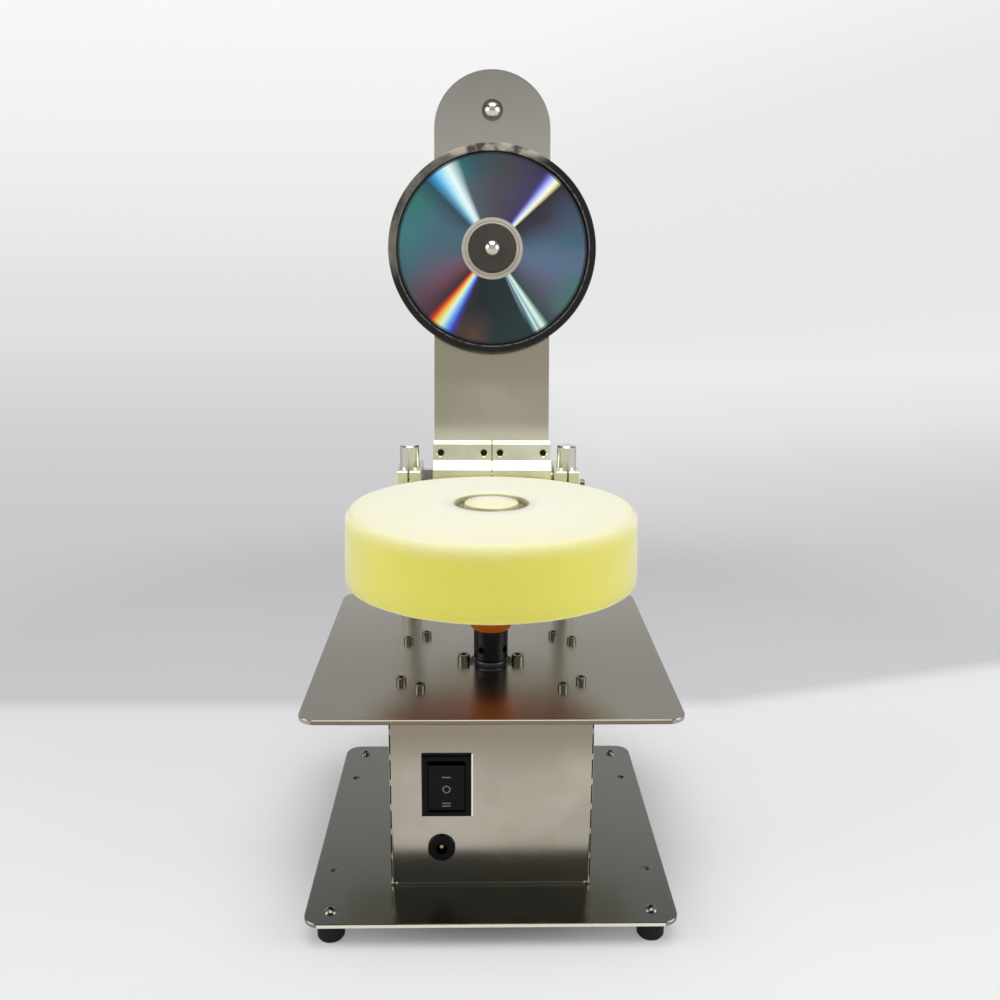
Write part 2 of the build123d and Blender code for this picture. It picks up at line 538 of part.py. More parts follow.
keep("pivot_block_left", on_arm(pivot_block(BLOCK_LEFT)))
keep("pivot_block_right", on_arm(pivot_block(BLOCK_RIGHT)))
keep("pivot_bushes", *[on_arm(pivot_bush(x)) for x in (BLOCK_LEFT, BLOCK_RIGHT)])

SPACER_LEFT, SPACER_RIGHT = rod_x(-1) + CLAMP_HALF, BLOCK_LEFT - 0.3
spacer = Rot(0, 90, 0) * Rot(0, 0, 30) * hex_prism(10.5, 0, SPACER_RIGHT - SPACER_LEFT,
                                                 bore=CROSS_RADIUS)
keep("shaft_spacer", Pos(SPACER_LEFT, PIVOT_Y, PIVOT_Z) * spacer)

ARM_BOTTOM = -BLOCK_HALF
ARM_ROUND_ALONG = ARM_TIP_ALONG - ARM_WIDTH / 2
HANDLE_HOLE, BEARING_BORE = 2.6, 6.5
arm = block((ARM_X - ARM_WIDTH / 2, ARM_X + ARM_WIDTH / 2), (ARM_BOTTOM, ARM_ROUND_ALONG),
            (-PLATE, 0)) + rod(ARM_WIDTH / 2, -PLATE, 0, ARM_X, ARM_ROUND_ALONG)
rims = arm.edges().group_by(Axis.Z)
arm = chamfer(rims[0] + rims[-1], 0.35)
arm -= rod(HANDLE_HOLE, -PLATE - 1, 1, ARM_X, HANDLE_ALONG)
arm -= rod(BEARING_BORE, -PLATE - 1, 1, ARM_X, TRAY_ALONG)
tap_places = [(x_low + BLOCK_LENGTH / 2 + x, along) for x_low in (BLOCK_LEFT, BLOCK_RIGHT)
              for x in (-TAP_X, TAP_X) for along in (-TAP_ALONG, TAP_ALONG)]
for x, along in tap_places:
    arm -= rod(2.1, -PLATE - 1, 1, x, along)
keep("arm_plate", on_arm(arm))

block_screw = Pos(0, 0, -PLATE) * Rot(180, 0, 0) * round_screw(2.0, 14, 3.7, 2.2, 2.5)
keep("block_screws", *[on_arm(Pos(x, along, 0) * block_screw) for x, along in tap_places])

WASHER_RADIUS, WASHER = 6.7, 1.2
handle_washer = rod(WASHER_RADIUS, 0, WASHER) - rod(HANDLE_HOLE, -1, 5)
handle_screw = Pos(0, 0, WASHER) * round_screw(2.5, 19, 4.75, 2.7, 3)
knob = rod(KNOB_RADIUS, -PLATE - KNOB_LENGTH, -PLATE - 9)
knob = fillet(knob.edges().group_by(Axis.Z)[0], KNOB_ROUND)
knob += Pos(0, 0, -PLATE - 5) * Cone(KNOB_RADIUS - 0.2, 6.5, 8.02)
knob += rod(7.5, -PLATE - 1.5, -PLATE)
knob -= rod(2.5, -PLATE - 16, 1)
at_handle = Pos(ARM_X, HANDLE_ALONG, 0)
keep("handle_washer", on_arm(at_handle * handle_washer))
keep("handle_screw", on_arm(at_handle * handle_screw))
keep("handle_knob", on_arm(at_handle * knob))


# ---------------------------------------------------------------- disc tray and its bearing
TRAY_BACK, TRAY_FRONT = 2.3, 7.2
DISC_BACK, DISC_FRONT = 4.9, 6.1
CAP_RADIUS, CAP_HEIGHT = 15.4, 2.4
DISC_BORE, HUB_RADIUS = 7.5, 7.4
RING_OUTER, RING_INNER = 5.4, 3.6
BALL_CIRCLE, BALL_RADIUS = 4.5, 0.84
at_tray = Pos(ARM_X, TRAY_ALONG, 0)


def at_centre(shape):
    """Carry a shape from the tray's own axis into the machine's frame."""
    return on_arm(at_tray * shape)


outer_ring = rod(BEARING_BORE, -3.5, 0.5) + rod(7.5, 0, 1) - rod(RING_OUTER, -5, 5)
keep("bearing_outer_ring", at_centre(outer_ring))
inner_ring = rod(RING_INNER, -3.5, 1) - rod(2.5, -5, 5)
keep("bearing_inner_ring", at_centre(inner_ring))
keep("bearing_balls", *[at_centre(Rot(0, 0, i * 45) * Pos(BALL_CIRCLE, 0, -1.25)
                                  * Sphere(BALL_RADIUS)) for i in range(8)])
keep("tray_spacer", at_centre(rod(4.2, 1, TRAY_BACK) - rod(2.5, 0, 5)))

tray = revolved([(2.5, TRAY_BACK), (63.5, TRAY_BACK), (TRAY_RADIUS, TRAY_BACK + 1.4),
                 (TRAY_RADIUS, TRAY_FRONT - 0.8), (TRAY_RADIUS - 0.8, TRAY_FRONT),
                 (DISC_RADIUS + 0.6, TRAY_FRONT), (DISC_RADIUS + 0.4, DISC_BACK),
                 (HUB_RADIUS, DISC_BACK), (HUB_RADIUS, DISC_FRONT - 0.1),
                 (2.5, DISC_FRONT - 0.1)])
keep("disc_tray", at_centre(tray))
keep("polished_disc", at_centre(rod(DISC_RADIUS, DISC_BACK, DISC_FRONT)
                                - rod(DISC_BORE, 0, 20)))
cap = revolved([(2.6, DISC_FRONT), (CAP_RADIUS, DISC_FRONT),
                (CAP_RADIUS, DISC_FRONT + CAP_HEIGHT - 0.8),
                (CAP_RADIUS - 0.8, DISC_FRONT + CAP_HEIGHT), (2.6, DISC_FRONT + CAP_HEIGHT)])
keep("disc_cap", at_centre(cap))
CAP_FACE = DISC_FRONT + CAP_HEIGHT
keep("centre_screw", at_centre(Pos(0, 0, CAP_FACE)
                               * round_screw(2.5, CAP_FACE + 10, 4.85, 2.7, 3)))
lock_nut = hex_prism(8, -8.5, -4.5, bore=2.5)
lock_washer = rod(3.4, -4.5, -3.5) - rod(2.5, -10, 0)
keep("lock_washer", at_centre(lock_washer))
keep("lock_nut", at_centre(lock_nut))


# ---------------------------------------------------------------- write
def write_parts():
    """Write each node to parts/, with the origin at the footprint's centre."""
    os.makedirs("parts", exist_ok=True)
    for node, shape in pieces.items():
        placed = Pos(0, -FOOTPRINT_CENTRE, 0) * shape
        placed.label = node
        export_step(placed, f"parts/{node}.step")
    print(len(pieces), "nodes, footprint centre at Y =", round(FOOTPRINT_CENTRE, 4))


write_parts()
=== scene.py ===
"""Looks of a bench disc polishing machine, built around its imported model.

The machine stands on a pale floor: a brushed steel base and platform, a folded housing with a
rocker switch and a power socket, a yellow foam pad on an orange hub, and a hinged arm that holds a
disc on a black tray. Lengths are in metres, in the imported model's own frame.
"""

from __future__ import annotations

import json
import logging
import math
from dataclasses import dataclass, field
from enum import Enum
from typing import Callable

import bmesh
import bpy
from mathutils import Matrix, Vector


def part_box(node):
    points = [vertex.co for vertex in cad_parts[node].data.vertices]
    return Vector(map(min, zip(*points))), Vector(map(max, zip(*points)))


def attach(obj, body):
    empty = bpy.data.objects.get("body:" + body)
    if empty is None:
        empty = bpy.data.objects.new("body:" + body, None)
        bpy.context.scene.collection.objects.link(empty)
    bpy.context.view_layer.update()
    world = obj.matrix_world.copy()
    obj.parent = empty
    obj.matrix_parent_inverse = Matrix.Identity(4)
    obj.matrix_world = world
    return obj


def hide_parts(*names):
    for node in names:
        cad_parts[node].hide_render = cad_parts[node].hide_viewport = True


LOG = logging.getLogger("disc_polisher")
MM = 0.001
Colour = tuple[float, float, float]
Place = tuple[float, float, float]


def from_screen(red: int, green: int, blue: int) -> Colour:
    """Turn a colour as a screen shows it, 0 to 255, into scene-linear values.

    Args:
        red: Red level.
        green: Green level.
        blue: Blue level.

    Returns:
        The linear colour.
    """
    def linear(level: int) -> float:
        share = level / 255
        return share / 12.92 if share <= 0.04045 else ((share + 0.055) / 1.055) ** 2.4

    return linear(red), linear(green), linear(blue)


# ---- shader maths
class Signal:
    """An output socket that takes part in Python arithmetic."""

    def __init__(self, sheet: Sheet, socket: bpy.types.NodeSocket) -> None:
        """Wrap a socket of a sheet."""
        self.sheet = sheet
        self.socket = socket

    def _math(self, operation: str, *values: Signal | float) -> Signal:
        """Add one Math node over the given values."""
        return self.sheet.node("ShaderNodeMath", {"operation": operation},
                               dict(enumerate(values)))

    def __add__(self, other: Signal | float) -> Signal:
        """Return the sum."""
        return self._math("ADD", self, other)

    def __sub__(self, other: Signal | float) -> Signal:
        """Return the difference."""
        return self._math("SUBTRACT", self, other)

    def __mul__(self, other: Signal | float) -> Signal:
        """Return the product."""
        return self._math("MULTIPLY", self, other)

    def __truediv__(self, other: Signal | float) -> Signal:
        """Return the quotient."""
        return self._math("DIVIDE", self, other)

    def __rsub__(self, other: float) -> Signal:
        """Return a number less this signal."""
        return self._math("SUBTRACT", other, self)

    def __neg__(self) -> Signal:
        """Return the signal with its sign turned."""
        return self._math("MULTIPLY", self, -1.0)

    def root(self) -> Signal:
        """Return the square root."""
        return self._math("SQRT", self)

    def size(self) -> Signal:
        """Return the absolute value."""
        return self._math("ABSOLUTE", self)

    def largest(self, other: Signal | float) -> Signal:
        """Return the larger of two values."""
        return self._math("MAXIMUM", self, other)

    def rest(self) -> Signal:
        """Return what is left over the next lower whole number."""
        return self._math("FRACT", self)

    def angle(self, other: Signal) -> Signal:
        """Return the angle of the point (other, self), in radians."""
        return self._math("ARCTAN2", self, other)

    def within(self, low: float, high: float) -> Signal:
        """Fade smoothly from 0 at low to 1 at high, which may be the lower number."""
        return self.sheet.node("ShaderNodeMapRange", {"interpolation_type": "SMOOTHSTEP"},
                               {"Value": self, "From Min": low, "From Max": high})

    def between(self, low: float, high: float) -> Signal:
        """Map 0 to 1 onto a span of values."""
        return self * (high - low) + low

    def beside(self, output: str) -> Signal:
        """Return another output of the node that this one comes from."""
        return Signal(self.sheet, self.socket.node.outputs[output])


def reach(across: Signal, along: Signal) -> Signal:
    """Return the distance from the middle of two coordinates."""
    return (across * across + along * along).root()


class Sheet:
    """The node tree of a material or of the world."""

    def __init__(self, owner: bpy.types.Material | bpy.types.World, shader: str) -> None:
        """Open an owner's node tree.

        Args:
            owner: The material or world.
            shader: The name of its main shader node.
        """
        owner.use_nodes = True
        self.owner = owner
        self.tree = owner.node_tree
        self.shader = self.tree.nodes[shader]

    @classmethod
    def material(cls, name: str) -> Sheet:
        """Start a material that ends in a Principled shader."""
        return cls(bpy.data.materials.new(name), "Principled BSDF")

    @classmethod
    def world(cls, name: str) -> Sheet:
        """Start the scene's world."""
        bpy.context.scene.world = bpy.data.worlds.new(name)
        return cls(bpy.context.scene.world, "Background")

    def node(self, kind: str, settings: dict | None = None, inputs: dict | None = None,
             output: str | int = 0) -> Signal:
        """Add a node.

        Args:
            kind: The node's type.
            settings: Attributes set before its sockets; "stops" fills a colour ramp.
            inputs: Socket name or number to a value, or to the signal that feeds it.
            output: The output wanted.

        Returns:
            That output as a signal.
        """
        made = self.tree.nodes.new(kind)
        for name, value in (settings or {}).items():
            if name == "stops":
                self._fill_ramp(made.color_ramp, value)
            else:
                setattr(made, name, value)
        for name, value in (inputs or {}).items():
            if isinstance(value, Signal):
                self.tree.links.new(value.socket, made.inputs[name])
            else:
                made.inputs[name].default_value = value
        return Signal(self, made.outputs[output])

    @staticmethod
    def _fill_ramp(ramp: bpy.types.ColorRamp, stops: list[tuple[float, Colour]]) -> None:
        """Give a colour ramp its stops, in order of place."""
        while len(ramp.elements) < len(stops):
            ramp.elements.new(0.5)
        for element, (place, _) in zip(ramp.elements, stops):
            element.position = place
        for element, (_, colour) in zip(ramp.elements, stops):
            element.color = (*colour, 1)

    def place(self, origin: Place | None = None, tilt: float = 0.0) -> Signal:
        """Object coordinates, measured from an origin and along tilted axes.

        Args:
            origin: The point that becomes zero.
            tilt: Turn of the axes about X, in radians.

        Returns:
            The coordinates as a vector signal.
        """
        coordinates = self.node("ShaderNodeTexCoord", output="Object")
        if origin is None:
            return coordinates
        return self.node("ShaderNodeMapping", {"vector_type": "TEXTURE"},
                         {"Vector": coordinates, "Location": origin,
                          "Rotation": (tilt, 0, 0)})

    def split(self, vector: Signal) -> tuple[Signal, Signal, Signal]:
        """Return a vector's three parts."""
        first = self.node("ShaderNodeSeparateXYZ", inputs={"Vector": vector})
        return first, first.beside("Y"), first.beside("Z")

    def scaled(self, vector: Signal, scale: Place) -> Signal:
        """Multiply a vector by a scale along each axis."""
        return self.node("ShaderNodeVectorMath", {"operation": "MULTIPLY"},
                         {0: vector, 1: scale})

    def noise(self, vector: Signal, scale: float, detail: float = 3, rough: float = 0.5) -> Signal:
        """Return soft noise from 0 to 1 at a scale per metre."""
        return self.node("ShaderNodeTexNoise", {}, {"Vector": vector, "Scale": scale,
                                                    "Detail": detail, "Roughness": rough})

    def mix(self, factor: Signal | float, low: Signal | Colour, high: Signal | Colour) -> Signal:
        """Mix two colours."""
        return self.node("ShaderNodeMix", {"data_type": "RGBA"},
                         {0: factor, 6: self._colour(low), 7: self._colour(high)}, output=2)

    @staticmethod
    def _colour(value: Signal | Colour) -> Signal | tuple[float, float, float, float]:
        """Give a plain colour its alpha."""
        return value if isinstance(value, Signal) else (*value, 1)

    def ramp(self, factor: Signal, stops: list[tuple[float, Colour]]) -> Signal:
        """Look a value up in a colour ramp."""
        return self.node("ShaderNodeValToRGB", {"stops": stops}, {"Fac": factor})

    def finish(self, **sockets: Signal | float | Colour) -> bpy.types.Material:
        """Set the shader's sockets, named with underscores for spaces.

        Returns:
            The finished material.
        """
        for name, value in sockets.items():
            socket = self.shader.inputs[name.replace("_", " ")]
            if isinstance(value, Signal):
                self.tree.links.new(value.socket, socket)
            elif isinstance(value, tuple):
                socket.default_value = (*value, 1)
            else:
                socket.default_value = value
        return self.owner

    def blend_surface(self, factor: Signal, other: Signal) -> None:
        """Show another shader in place of the main one, by a factor."""
        main = Signal(self, self.shader.outputs[0])
        mixed = self.node("ShaderNodeMixShader", {}, {0: factor, 1: main, 2: other})
        output = self.tree.nodes["Material Output"]
        self.tree.links.new(mixed.socket, output.inputs["Surface"])

    def bump(self, height: Signal, depth: float) -> Signal:
        """Raise a surface by a height signal.

        Args:
            height: The height, 0 to 1.
            depth: What 1 stands for, in metres.

        Returns:
            The normal to link.
        """
        return self.node("ShaderNodeBump", {}, {"Height": height, "Distance": depth,
                                                "Strength": 1.0})


def shade(colour: Colour, share: float) -> Colour:
    """Return a colour at a share of its light."""
    return tuple(min(1.0, part * share) for part in colour)


def tinted(colour: Colour, shares: Colour) -> Colour:
    """Return a colour with each of its parts scaled by a share of its own."""
    return tuple(part * share for part, share in zip(colour, shares))


# ---- finishes
class Grain(Enum):
    """The way that a sheet was brushed, as the stretch of its lines along each axis."""

    ACROSS = (1.0, 30.0, 30.0)
    UPWARD = (30.0, 30.0, 1.0)


class Axis(Enum):
    """An axis of the machine, as its place in a vector."""

    ACROSS = 0
    ALONG = 1
    UP = 2


class Overlay:
    """A part of a sheet that takes another colour; its kinds say where, in share()."""

    def over(self, sheet: Sheet, where: Signal, tone: Signal) -> Signal:
        """Lay the part over a tone.

        Args:
            sheet: The sheet that the tone belongs to.
            where: Object coordinates.
            tone: The colour so far.

        Returns:
            The colour with the part on it.
        """
        return sheet.mix(self.share(sheet, where), tone, self.colour)


@dataclass(frozen=True)
class Band(Overlay):
    """A stretch along one axis."""

    axis: Axis
    middle: float
    half: float
    soft: float
    colour: Colour = (0, 0, 0)

    def share(self, sheet: Sheet, where: Signal) -> Signal:
        """Return 1 inside the band and 0 away from it."""
        place = sheet.split(where)[self.axis.value]
        return (place - self.middle).size().within(self.half + self.soft, self.half)


@dataclass(frozen=True)
class PaintedEdgeHighlight(Overlay):
    """A painted highlight on the edge round a square opening in a sheet that faces the front."""

    middle: tuple[float, float]
    half: tuple[float, float]
    width: float
    colour: Colour

    def share(self, sheet: Sheet, where: Signal) -> Signal:
        """Return 1 on the edge, and further in, and 0 beyond it."""
        across, _, height = sheet.split(where)
        beyond = ((across - self.middle[0]).size() - self.half[0]).largest(
            (height - self.middle[1]).size() - self.half[1])
        return beyond.within(self.width, self.width * 0.6)


# Noise scales of the sheet's brush lines, clouds, film and drifts, per metre, and the depth of the
# brush lines.
LINE_SCALE, CLOUD_SCALE, FILM_SCALE, DRIFT_SCALE = 110.0, 24.0, 60.0, 17.0
LINE_DEPTH = 0.003 * MM
# Roughness between and on the lines, as steps from the sheet's own, and what film, marks and a
# dull stretch add.
LINE_ROUGHNESS = (-0.03, 0.05)
FILM_ROUGHNESS, MARK_ROUGHNESS, DULL_ROUGHNESS = 0.03, 0.08, 0.42
# Shares of red, green and blue where a sheet has been handled, and where it has dulled.
WARM_TINT = (0.98, 0.92, 0.8)
DULL_TINT = (0.74, 0.77, 0.72)


@dataclass(frozen=True)
class BrushedSteel:
    """Stainless sheet with fine brush lines, faint clouds and handling marks."""

    name: str
    colour: Colour
    grain: Grain
    roughness: float = 0.2
    smudge: float = 0.15
    contrast: float = 0.88
    cloudy: float = 0.0
    bands: tuple[Overlay, ...] = ()
    dull: Band | None = None

    def build(self) -> bpy.types.Material:
        """Make the material."""
        sheet = Sheet.material(self.name)
        where = sheet.place()
        lines = sheet.noise(sheet.scaled(where, self.grain.value), LINE_SCALE, 4, 0.6)
        cloud = sheet.noise(where, CLOUD_SCALE, 4, 0.55)
        film = sheet.noise(where, FILM_SCALE, 2, 0.5)
        mark = cloud.within(0.45, 0.75) * self.smudge
        tone = sheet.mix(lines.within(0.3, 0.7), shade(self.colour, self.contrast), self.colour)
        tone = sheet.mix(mark, tone, tinted(self.colour, WARM_TINT))
        if self.cloudy:
            drift = sheet.noise(where, DRIFT_SCALE, 3, 0.5)
            tone = sheet.mix(drift.within(0.42, 0.66) * self.cloudy, tone,
                             tinted(self.colour, DULL_TINT))
        for band in self.bands:
            tone = band.over(sheet, where, tone)
        low, high = (self.roughness + step for step in LINE_ROUGHNESS)
        rough = lines.between(low, high) + film * FILM_ROUGHNESS
        if self.dull:
            rough = rough + self.dull.share(sheet, where) * DULL_ROUGHNESS
        return sheet.finish(Base_Color=tone, Metallic=1.0, Roughness=rough + mark * MARK_ROUGHNESS,
                            Normal=sheet.bump(lines, LINE_DEPTH))


@dataclass(frozen=True)
class TurnedMetal:
    """Machined or ground metal with faint tool marks."""

    name: str
    colour: Colour
    roughness: float
    marks: float = 900.0
    broad_share: float = 12
    depth: float = 0.01 * MM

    def build(self) -> bpy.types.Material:
        """Make the material."""
        sheet = Sheet.material(self.name)
        where = sheet.place()
        fine = sheet.noise(where, self.marks, 3, 0.6)
        broad = sheet.noise(where, self.marks / self.broad_share, 3, 0.5)
        tone = sheet.mix(broad.within(0.35, 0.7), shade(self.colour, 0.8), self.colour)
        return sheet.finish(Base_Color=tone, Metallic=1.0,
                            Roughness=fine.between(self.roughness * 0.8, self.roughness * 1.3),
                            Normal=sheet.bump(fine, self.depth))


@dataclass(frozen=True)
class MouldedPlastic:
    """Moulded plastic or rubber with a fine texture and slight variation."""

    name: str
    colour: Colour
    roughness: float
    texture: float = 1500.0
    cloud: float = 45.0
    depth: float = 0.03 * MM
    gloss: float = 0.5

    def build(self) -> bpy.types.Material:
        """Make the material."""
        sheet = Sheet.material(self.name)
        where = sheet.place()
        fine = sheet.noise(where, self.texture, 2, 0.5)
        broad = sheet.noise(where, self.cloud, 4, 0.6)
        tone = sheet.mix(broad.within(0.35, 0.75), self.colour, shade(self.colour, 1.35))
        rough = fine.between(self.roughness - 0.04, self.roughness + 0.06) + broad * 0.08
        return sheet.finish(Base_Color=tone, Roughness=rough, Specular_IOR_Level=self.gloss,
                            Normal=sheet.bump(fine, self.depth))


@dataclass(frozen=True)
class RockerPlastic:
    """Glossy black plastic, darker above a step with painted shade from the switch's well, and a
    shade paler over the printed part below it.
    """

    name: str
    step: float
    # colour is the painted shade over the rocker's top; paler is the rocker's own black below the
    # step
    colour: Colour = from_screen(8, 8, 10)
    paler: Colour = from_screen(14, 15, 18)

    def build(self) -> bpy.types.Material:
        """Make the material."""
        sheet = Sheet.material(self.name)
        where = sheet.place()
        height = sheet.split(where)[2]
        fine = sheet.noise(where, 1200.0, 2, 0.5)
        # 1 below the step, over the printed part, and 0 above it, under the painted shade
        printed = height.within(self.step + 0.2 * MM, self.step - 0.2 * MM)
        tone = sheet.mix(printed, self.colour, self.paler)
        return sheet.finish(Base_Color=tone, Roughness=fine.between(0.3, 0.38),
                            Specular_IOR_Level=0.12, Normal=sheet.bump(fine, 0.01 * MM))


@dataclass(frozen=True)
class PolishingFoam:
    """Open-cell yellow foam, paler on its working face, with fuzz specks, stain and painted shade
    in its groove.
    """

    name: str
    base: float
    top: float
    axis: float
    groove: tuple[float, float]
    body: Colour = from_screen(238, 231, 98)
    # The pale colour of the top face, also used for the painted highlight along the lower edge.
    pale_and_painted_light: Colour = from_screen(249, 246, 222)
    # The colour of the groove: fuzz and stain, with painted shade of the recess.
    dust_and_groove_shade: Colour = from_screen(128, 120, 66)
    core: Colour = from_screen(250, 246, 160)
    pale_top_depth: float = 15 * MM
    cell_scale: float = 1300.0
    cell_depth: float = 0.18 * MM

    def build(self) -> bpy.types.Material:
        """Make the material."""
        sheet = Sheet.material(self.name)
        where = sheet.place()
        across, along, height = sheet.split(where)
        along = along - self.axis
        radius = reach(across, along)
        cells = sheet.node("ShaderNodeTexVoronoi", {"feature": "F1"},
                           {"Vector": where, "Scale": self.cell_scale})
        fuzz = sheet.noise(where, 800.0, 3, 0.7)
        cloud = sheet.noise(where, 30.0, 3, 0.5)
        # Paler towards the top face.
        pale_top = (height + (cloud - 0.5) * (3 * MM)).within(self.top - self.pale_top_depth,
                                                          self.top + 1.5 * MM)
        pale_top = pale_top * pale_top
        # A painted highlight along the pad's lower edge, where light shows through the foam.
        lower_edge_highlight = height.within(self.base + 1.6 * MM, self.base + 0.4 * MM)
        tone = sheet.mix(cloud.within(0.3, 0.7) * 0.3, self.body, shade(self.body, 0.93))
        tone = sheet.mix(pale_top.largest(lower_edge_highlight * 0.4), tone, self.pale_and_painted_light)
        tone = sheet.mix(cells.within(0.15, 0.6) * 0.12, tone, shade(self.body, 0.8))
        inner, outer = self.groove
        core = radius.within(inner + 0.5 * MM, inner - 1 * MM)
        tone = sheet.mix(core * 0.5, tone, self.core)
        # The groove ring, darkened by fuzz specks and by painted shade of the recess.
        ring = radius.within(inner - 0.4 * MM, inner + 0.3 * MM)
        ring = ring * radius.within(outer + 0.4 * MM, outer - 0.3 * MM)
        ring = ring * height.within(self.top - 12 * MM, self.top - 8 * MM)
        tone = sheet.mix(ring * fuzz.within(0.3, 0.55).between(0.55, 0.95), tone, self.dust_and_groove_shade)
        grain = (1 - cells) * 0.5 + fuzz * 0.5
        return sheet.finish(Base_Color=tone, Roughness=0.95, Sheen_Weight=1.0,
                            Sheen_Roughness=0.45, Subsurface_Weight=0.1, Subsurface_Scale=0.008,
                            Normal=sheet.bump(grain, self.cell_depth))


# Colours of the disc's face against the angle about its centre, in degrees from +x: its dye tint
# painted with reflections, dark sectors and the bright rainbow wedges of diffraction. The outer
# ones show near the rim.
DISC_INNER = [
    (0, (82, 104, 130)), (30, (50, 46, 60)), (42.5, (44, 38, 48)), (44.5, (232, 232, 176)),
    (46.5, (252, 252, 250)), (49, (196, 206, 250)), (51.5, (120, 118, 214)), (54, (62, 54, 96)),
    (84, (74, 69, 78)), (112, (76, 90, 98)), (116, (190, 214, 220)), (119.5, (240, 252, 252)),
    (124, (196, 240, 252)), (130, (78, 150, 186)), (135, (50, 72, 86)), (156, (68, 102, 120)),
    (182, (71, 99, 114)), (200, (100, 86, 110)), (213, (108, 68, 84)), (227, (52, 36, 40)),
    (230, (226, 60, 30)), (233, (250, 200, 70)), (236, (226, 252, 220)), (240, (100, 160, 250)),
    (243.5, (56, 50, 150)), (246.5, (36, 36, 42)), (258, (22, 32, 36)), (274, (18, 38, 44)),
    (294, (26, 42, 46)), (300, (196, 232, 232)), (360, (82, 104, 130)),
]
DISC_OUTER = [
    (0, (66, 104, 124)), (28, (60, 70, 92)), (42.5, (46, 38, 48)), (44.5, (244, 240, 160)),
    (46.5, (250, 250, 248)), (49, (190, 204, 250)), (51.5, (110, 108, 216)), (54, (58, 50, 90)),
    (78, (66, 66, 70)), (100, (52, 80, 88)), (111, (44, 104, 110)), (116, (186, 214, 216)),
    (119.5, (240, 253, 252)), (124, (166, 234, 252)), (130, (50, 150, 206)), (135, (42, 76, 88)),
    (148, (50, 116, 112)), (172, (60, 118, 124)), (196, (64, 98, 108)), (214, (90, 66, 84)),
    (227, (66, 40, 44)), (229.5, (226, 52, 24)), (233, (250, 214, 70)), (236, (214, 252, 226)),
    (240, (90, 160, 252)), (243.5, (58, 48, 180)), (247, (70, 50, 46)), (258, (84, 62, 50)),
    (272, (24, 46, 48)), (294, (30, 50, 52)), (360, (66, 104, 124)),
]
# Painted reflections over the disc's lower right: a band of narrow wedges.
DISC_LOWER_RIGHT = [
    (296, (32, 50, 54)), (298.2, (104, 150, 160)), (299.4, (230, 248, 250)),
    (300.8, (118, 166, 176)), (302.2, (200, 232, 234)), (304, (246, 253, 250)),
    (305.6, (130, 190, 164)), (307.6, (56, 70, 76)), (320, (82, 84, 102)), (334, (90, 102, 128)),
    (346, (88, 110, 138)), (360, (82, 104, 130)),
]


@dataclass(frozen=True)
class DiscPaintedReflections:
    """The mirror side of a disc: its dye tint painted with reflections by angle, dark sectors with
    bright rainbow wedges of diffraction between.
    """

    name: str
    centre: Place
    tilt: float
    groove: float = 17.2 * MM
    hub: float = 19.4 * MM
    edge: float = 58.6 * MM

    def build(self) -> bpy.types.Material:
        """Make the material."""
        sheet = Sheet.material(self.name)
        where = sheet.place(self.centre, self.tilt)
        across, along, _ = sheet.split(where)
        radius = reach(across, along)
        ripple = sheet.noise(where, 26.0, 3, 0.5)
        turn = (along.angle(across) / math.tau + 1.0).rest() + (ripple - 0.5) * 0.003
        inner = self._sectors(sheet, turn, DISC_INNER)
        outer = self._sectors(sheet, turn, DISC_OUTER)
        film = sheet.mix((radius + (ripple - 0.5) * (14 * MM)).within(34 * MM, 56 * MM),
                         inner, outer)
        # The painted wedges of the lower right.
        lower = self._sectors(sheet, turn, DISC_LOWER_RIGHT)
        film = sheet.mix(turn.within(296.2 / 360, 296.6 / 360), film, lower)
        # A painted green reflection over the lower right, near the rim.
        green = radius.within(42 * MM, 57 * MM) * turn.within(310 / 360, 322 / 360)
        green = green * turn.within(350 / 360, 336 / 360)
        film = sheet.mix(green * 0.6, film, from_screen(58, 122, 104))
        hub_tone = sheet.mix(radius.within(15 * MM, 20 * MM), from_screen(216, 206, 192),
                             from_screen(176, 166, 154))
        groove = (radius - self.groove).size().within(0.35 * MM, 0.1 * MM)
        hub_tone = sheet.mix(groove, hub_tone, from_screen(112, 100, 90))
        tone = sheet.mix(radius.within(self.hub + 0.15 * MM, self.hub - 0.15 * MM), film, hub_tone)
        lip = radius.within(self.edge - 0.1 * MM, self.edge + 0.1 * MM)
        tone = sheet.mix(lip * 0.7, tone, from_screen(30, 34, 34))
        return sheet.finish(Base_Color=tone, Metallic=0.0, Roughness=ripple.between(0.3, 0.4),
                            Specular_IOR_Level=0.3, Coat_Weight=0.2, Coat_Roughness=0.08)

    @staticmethod
    def _sectors(sheet: Sheet, turn: Signal, sectors: list[tuple[float, tuple]]) -> Signal:
        """Look the angle up in one list of sector colours."""
        return sheet.ramp(turn, [(degrees / 360, from_screen(*levels))
                                 for degrees, levels in sectors])


